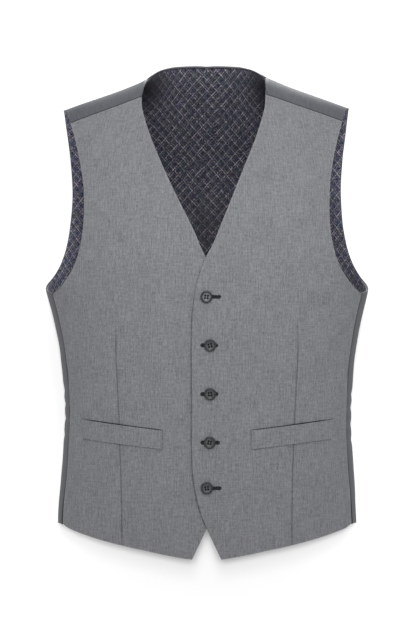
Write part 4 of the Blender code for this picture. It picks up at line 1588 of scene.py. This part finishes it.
def drilled_blank():
    """One button, its back on the plane of its origin, with four holes through the well."""
    outline = bmesh.new()
    corners = [outline.verts.new((radius, 0.0, height)) for radius, height in button_profile()]
    for start, end in zip(corners, corners[1:]):
        outline.edges.new((start, end))
    bmesh.ops.spin(
        outline, geom=outline.verts[:] + outline.edges[:], axis=(0, 0, 1), cent=(0, 0, 0),
        angle=math.tau, steps=BUTTON_STEPS, use_merge=True,
    )
    bmesh.ops.remove_doubles(outline, verts=outline.verts, dist=BUTTON_WELD_DISTANCE)
    bmesh.ops.recalc_face_normals(outline, faces=outline.faces)
    blank = new_object("button_blank", outline)
    drills = bmesh.new()
    for side_x in (-0.5, 0.5):
        for side_y in (-0.5, 0.5):
            place = Matrix.Translation((side_x * HOLE_SPACING, side_y * HOLE_SPACING, BUTTON_HEIGHT / 2))
            bmesh.ops.create_cone(
                drills, cap_ends=True, segments=HOLE_STEPS, radius1=HOLE_RADIUS, radius2=HOLE_RADIUS,
                depth=2 * BUTTON_HEIGHT, matrix=place,
            )
    drill = new_object("button_drill", drills)
    holes = blank.modifiers.new("holes", "BOOLEAN")
    holes.operation = "DIFFERENCE"
    holes.solver = "EXACT"
    holes.object = drill
    bpy.context.view_layer.update()
    graph = bpy.context.evaluated_depsgraph_get()
    mesh = bpy.data.meshes.new_from_object(blank.evaluated_get(graph))
    bpy.data.objects.remove(blank)
    bpy.data.objects.remove(drill)
    return mesh


def add_tube(shape, points, radius, sides=6):
    """Adds a capped tube of thread through the given points."""
    last = len(points) - 1
    loops = []
    for i, point in enumerate(points):
        ahead = points[min(i + 1, last)] - points[max(i - 1, 0)]
        turned = ahead.to_track_quat("Z", "Y").to_matrix().to_4x4()
        ring = bmesh.ops.create_circle(
            shape, cap_ends=i in (0, last), segments=sides, radius=radius,
            matrix=Matrix.Translation(point) @ turned,
        )["verts"]
        loops.append(list({edge for vert in ring for edge in vert.link_edges}))
    for loop, after in zip(loops, loops[1:]):
        bmesh.ops.bridge_loops(shape, edges=loop + after)


class WAISTCOAT_OT_buttons(bpy.types.Operator):
    """Make the buttons and the thread that holds them"""

    bl_idname = "waistcoat.buttons"
    bl_label = "Buttons"

    def execute(self, context):
        finish = context.scene.waistcoat_finish
        blank = drilled_blank()
        threads = bmesh.new()
        for number, (x, z, turned, _, _, tone) in enumerate(BUTTON_ROWS, start=1):
            place = place_on_front(x * MM, z * MM, BUTTON_LIFT)
            place = place @ Matrix.Rotation(math.radians(turned), 4, "Z")
            mesh = blank.copy()
            turned_place = mesh.attributes.new("turned", "FLOAT_VECTOR", "POINT")
            for vert, spot in zip(mesh.vertices, turned_place.data):
                spot.vector = (vert.co.x / BUTTON_RADIUS, vert.co.y / BUTTON_RADIUS, tone)
            mesh.transform(place)
            mesh.shade_smooth()
            mesh.set_sharp_from_angle(angle=BUTTON_SHARP_ANGLE)
            mesh.materials.append(finish_of(resin, finish))
            button = bpy.data.objects.new(f"resin_button_{number}", mesh)
            context.scene.collection.objects.link(button)
            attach(button, "root")
            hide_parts(f"button_{number}")
            half, top = HOLE_SPACING / 2, BUTTON_HEIGHT - WELL_DEPTH
            for side_x in (-half, half):
                for shift in (-BUTTON_THREAD_SHIFT, BUTTON_THREAD_SHIFT):
                    up = [(-half, 0.6 * MM), (-half + 0.1 * MM, top - 0.1 * MM), (-half / 2, top + 0.24 * MM)]
                    down = [(-y_at, z_at) for y_at, z_at in reversed(up)]
                    run = [Vector((side_x + shift, *at)) for at in up + down]
                    add_tube(threads, [place @ point for point in run], BUTTON_THREAD_RADIUS)
            shank = [Vector((0.0, 0.0, z_at)) for z_at in (-0.42 * MM, -0.1 * MM, 0.0)]
            add_tube(threads, [place @ point for point in shank], SHANK_RADIUS, sides=14)
        bmesh.ops.recalc_face_normals(threads, faces=threads.faces)
        thread = new_object("button_thread", threads)
        thread.data.shade_smooth()
        thread.data.materials.append(finish_of(sewing_thread, finish))
        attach(thread, "root")
        bpy.data.meshes.remove(blank)
        return {"FINISHED"}


class WAISTCOAT_OT_buttonholes(bpy.types.Operator):
    """Stitch the buttonholes: close stitches round each slit, longer round its two ends"""

    bl_idname = "waistcoat.buttonholes"
    bl_label = "Buttonholes"

    def execute(self, context):
        finish, sewing = context.scene.waistcoat_finish, context.scene.waistcoat_sewing
        stitches = bmesh.new()
        for number, (_, z, _, start_x, end_x, _) in enumerate(BUTTON_ROWS):
            start, end = start_x * MM, end_x * MM
            count = max(8, round((end - start) / sewing.stitch_pitch))
            # Where each stitch starts, which way it reaches, and whether it is on a flank of the slit.
            path = []
            for side in (1, -1):
                for i in range(count + 1):
                    path.append((start + i / count * (end - start), side * SLIT_HALF_WIDTH, 0.0, side, True))
            for middle, facing in ((start, -1), (end, 1)):
                for i in range(1, SLIT_END_CELLS):
                    angle = -math.pi / 2 + math.pi * i / SLIT_END_CELLS
                    path.append((middle, 0.0, facing * math.cos(angle), math.sin(angle), False))
            rng = np.random.default_rng(STITCH_SEED + number)
            for at_x, at_y, out_x, out_y, on_flank in path:
                jitter = rng.uniform(-STITCH_JITTER, STITCH_JITTER, 3) * MM
                near_end = max(0.0, 1 - min(at_x - start, end - at_x) / STITCH_REACH_ZONE)
                reach = sewing.stitch_length * (STITCH_REACH + STITCH_REACH_GAIN * near_end) + jitter[0]
                if not on_flank:
                    at_x, at_y = at_x + SLIT_HALF_WIDTH * out_x, SLIT_HALF_WIDTH * out_y
                step_x, step_y = out_x * reach + jitter[1], out_y * reach
                run = []
                for share, height in STITCH_ROWS:
                    place = place_on_front(at_x + share * step_x, z * MM + at_y + share * step_y, height * MM)
                    run.append(place.translation)
                add_tube(stitches, run, sewing.thread_radius)
        bmesh.ops.recalc_face_normals(stitches, faces=stitches.faces)
        piece = new_object("buttonhole_stitching", stitches)
        piece.data.shade_smooth()
        piece.data.materials.append(finish_of(sewing_thread, finish))
        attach(piece, "root")
        return {"FINISHED"}


def sweep_path():
    """The studio sweep from the top of its wall down and forward along its floor, as (y, z)."""
    wall_y, wall_top, floor_z, floor_end, bend, steps = 0.135, 2.4, -0.96, -6.0, 0.22, 12
    path = [(wall_y, wall_top), (wall_y, floor_z + bend)]
    for i in range(1, steps + 1):
        angle = math.pi / 2 * i / steps
        path.append((wall_y - bend * (1 - math.cos(angle)), floor_z + bend * (1 - math.sin(angle))))
    path.append((floor_end, floor_z))
    return path


def one_sided_white():
    """Matt white board."""
    # It is plain from its front, paler where it lies as the floor, and lets the view through from its back.
    material, tree, shader = new_material("white_board_matt")
    place = add_node(tree, "ShaderNodeTexCoord").outputs["Object"]
    height = add_node(tree, "ShaderNodeSeparateXYZ", {0: place}).outputs[2]
    tone = mixed(tree, ranged(tree, height, -0.74, -0.95), linear("#C4C4C4"), linear("#F2F2F2"))
    fill_inputs(tree, shader, {"Base Color": tone, "Roughness": 0.9, "Specular IOR Level": 0.0})
    facing = add_node(tree, "ShaderNodeNewGeometry").outputs["Backfacing"]
    clear = add_node(tree, "ShaderNodeBsdfTransparent")
    seen = add_node(tree, "ShaderNodeMixShader", {0: facing, 1: shader, 2: clear})
    fill_inputs(tree, tree.nodes["Material Output"], {"Surface": seen})
    return material


def add_area_light(name, place, target, width, height, power):
    data = bpy.data.lights.new(name, "AREA")
    data.shape = "RECTANGLE"
    data.size = width
    data.size_y = height
    data.energy = power
    light = bpy.data.objects.new(name, data)
    light.location = place
    light.rotation_euler = (Vector(target) - Vector(place)).to_track_quat("-Z", "Y").to_euler()
    light.visible_camera = False
    bpy.context.scene.collection.objects.link(light)
    return light


class WAISTCOAT_OT_studio(bpy.types.Operator):
    """Make the white sweep, the soft lights and the camera"""

    bl_idname = "waistcoat.studio"
    bl_label = "Studio"

    def execute(self, context):
        studio = context.scene.waistcoat_studio
        path = sweep_path()
        shape = bmesh.new()
        sheet = bmesh.ops.create_grid(shape, x_segments=1, y_segments=len(path) - 1, size=0.5)
        for vert in sheet["verts"]:
            y, z = path[round((vert.co.y + 0.5) * (len(path) - 1))]
            vert.co = Vector((vert.co.x * SWEEP_WIDTH, y, z))
        bmesh.ops.recalc_face_normals(shape, faces=shape.faces)
        shape.faces.ensure_lookup_table()
        if shape.faces[0].normal.dot(Vector((0, -1, 1))) < 0:
            bmesh.ops.reverse_faces(shape, faces=shape.faces)
        sweep = new_object("studio_sweep", shape)
        sweep.data.shade_smooth()
        sweep.data.materials.append(one_sided_white())
        # It catches the garment's shadow, and otherwise takes no light away from the garment's back.
        sweep.visible_diffuse = False
        sweep.visible_glossy = False
        sweep.visible_shadow = False

        chest = (0.0, -0.05, -0.28)
        key_light = add_area_light(
            "key_light", (0.14, -2.0, 0.7), (0.02, -0.1, -0.13), 0.4, 0.3, studio.key_power,
        )
        key_light.data.spread = math.radians(32)
        add_area_light("top_light", (0.1, -1.1, 1.0), chest, 1.3, 0.7, studio.top_power)
        backdrop = bpy.data.collections.new("backdrop")
        backdrop.objects.link(sweep)
        # The low, strong part gives the shadow below the hem its quick edge, and the high one its long tail.
        for part, z, height, share in (("low", -0.13, 0.18, 0.735), ("high", 0.15, 0.38, 0.21)):
            backdrop_light = add_area_light(
                f"backdrop_light_{part}", (0.0, -4.1, z), chest, 0.22, height, share * studio.backdrop_power,
            )
            backdrop_light.light_linking.receiver_collection = backdrop
        add_area_light("back_light", (0.1, 1.8, 1.5), (0.0, 0.1, -0.3), 1.0, 0.8, studio.back_power)
        world = bpy.data.worlds.new("studio_dome")
        world.use_nodes = True
        tree = world.node_tree
        seen = add_node(tree, "ShaderNodeLightPath").outputs["Is Camera Ray"]
        strength = add_node(
            tree, "ShaderNodeMix", {0: seen, 2: studio.dome_strength, 3: 1.0}, data_type="FLOAT",
        )
        fill_inputs(tree, tree.nodes["Background"], {"Color": (1.0, 1.0, 1.0, 1.0), "Strength": strength})
        context.scene.world = world
        context.scene.view_settings.view_transform = "Standard"

        data = bpy.data.cameras.new("camera")
        data.sensor_width = 36.0
        data.lens = data.sensor_width * studio.camera_distance / VIEW_HEIGHT
        camera = bpy.data.objects.new("camera", data)
        camera.location = Vector(VIEW_CENTRE) - Vector((0.0, studio.camera_distance, 0.0))
        camera.rotation_euler = (math.pi / 2, 0.0, 0.0)
        context.scene.collection.objects.link(camera)
        context.scene.camera = camera
        return {"FINISHED"}


class WAISTCOAT_PT_pieces(bpy.types.Panel):
    """The pieces of the waistcoat, in the order that they are made"""

    bl_idname = "WAISTCOAT_PT_pieces"
    bl_label = "Waistcoat"
    bl_space_type = "VIEW_3D"
    bl_region_type = "UI"
    bl_category = "Waistcoat"

    def draw(self, context):
        layout = self.layout
        for group in ("waistcoat_finish", "waistcoat_sewing", "waistcoat_studio"):
            settings = getattr(context.scene, group)
            box = layout.box()
            for name in settings.__annotations__:
                box.prop(settings, name)
        for operator in OPERATORS:
            layout.operator(operator.bl_idname)


OPERATORS = [
    WAISTCOAT_OT_fronts,
    WAISTCOAT_OT_backs,
    WAISTCOAT_OT_linings,
    WAISTCOAT_OT_welts,
    WAISTCOAT_OT_buttons,
    WAISTCOAT_OT_buttonholes,
    WAISTCOAT_OT_studio,
]
SETTINGS = {
    "waistcoat_finish": WaistcoatFinish,
    "waistcoat_sewing": WaistcoatSewing,
    "waistcoat_studio": WaistcoatStudio,
}


def register():
    for group in SETTINGS.values():
        bpy.utils.register_class(group)
    for name, group in SETTINGS.items():
        setattr(bpy.types.Scene, name, bpy.props.PointerProperty(type=group))
    for operator in OPERATORS:
        bpy.utils.register_class(operator)
    bpy.utils.register_class(WAISTCOAT_PT_pieces)


def unregister():
    bpy.utils.unregister_class(WAISTCOAT_PT_pieces)
    for operator in reversed(OPERATORS):
        bpy.utils.unregister_class(operator)
    for name, group in SETTINGS.items():
        delattr(bpy.types.Scene, name)
        bpy.utils.unregister_class(group)


def main():
    register()
    for operator in OPERATORS:
        group, name = operator.bl_idname.split(".")
        getattr(getattr(bpy.ops, group), name)()


if __name__ == "__main__":
    main()
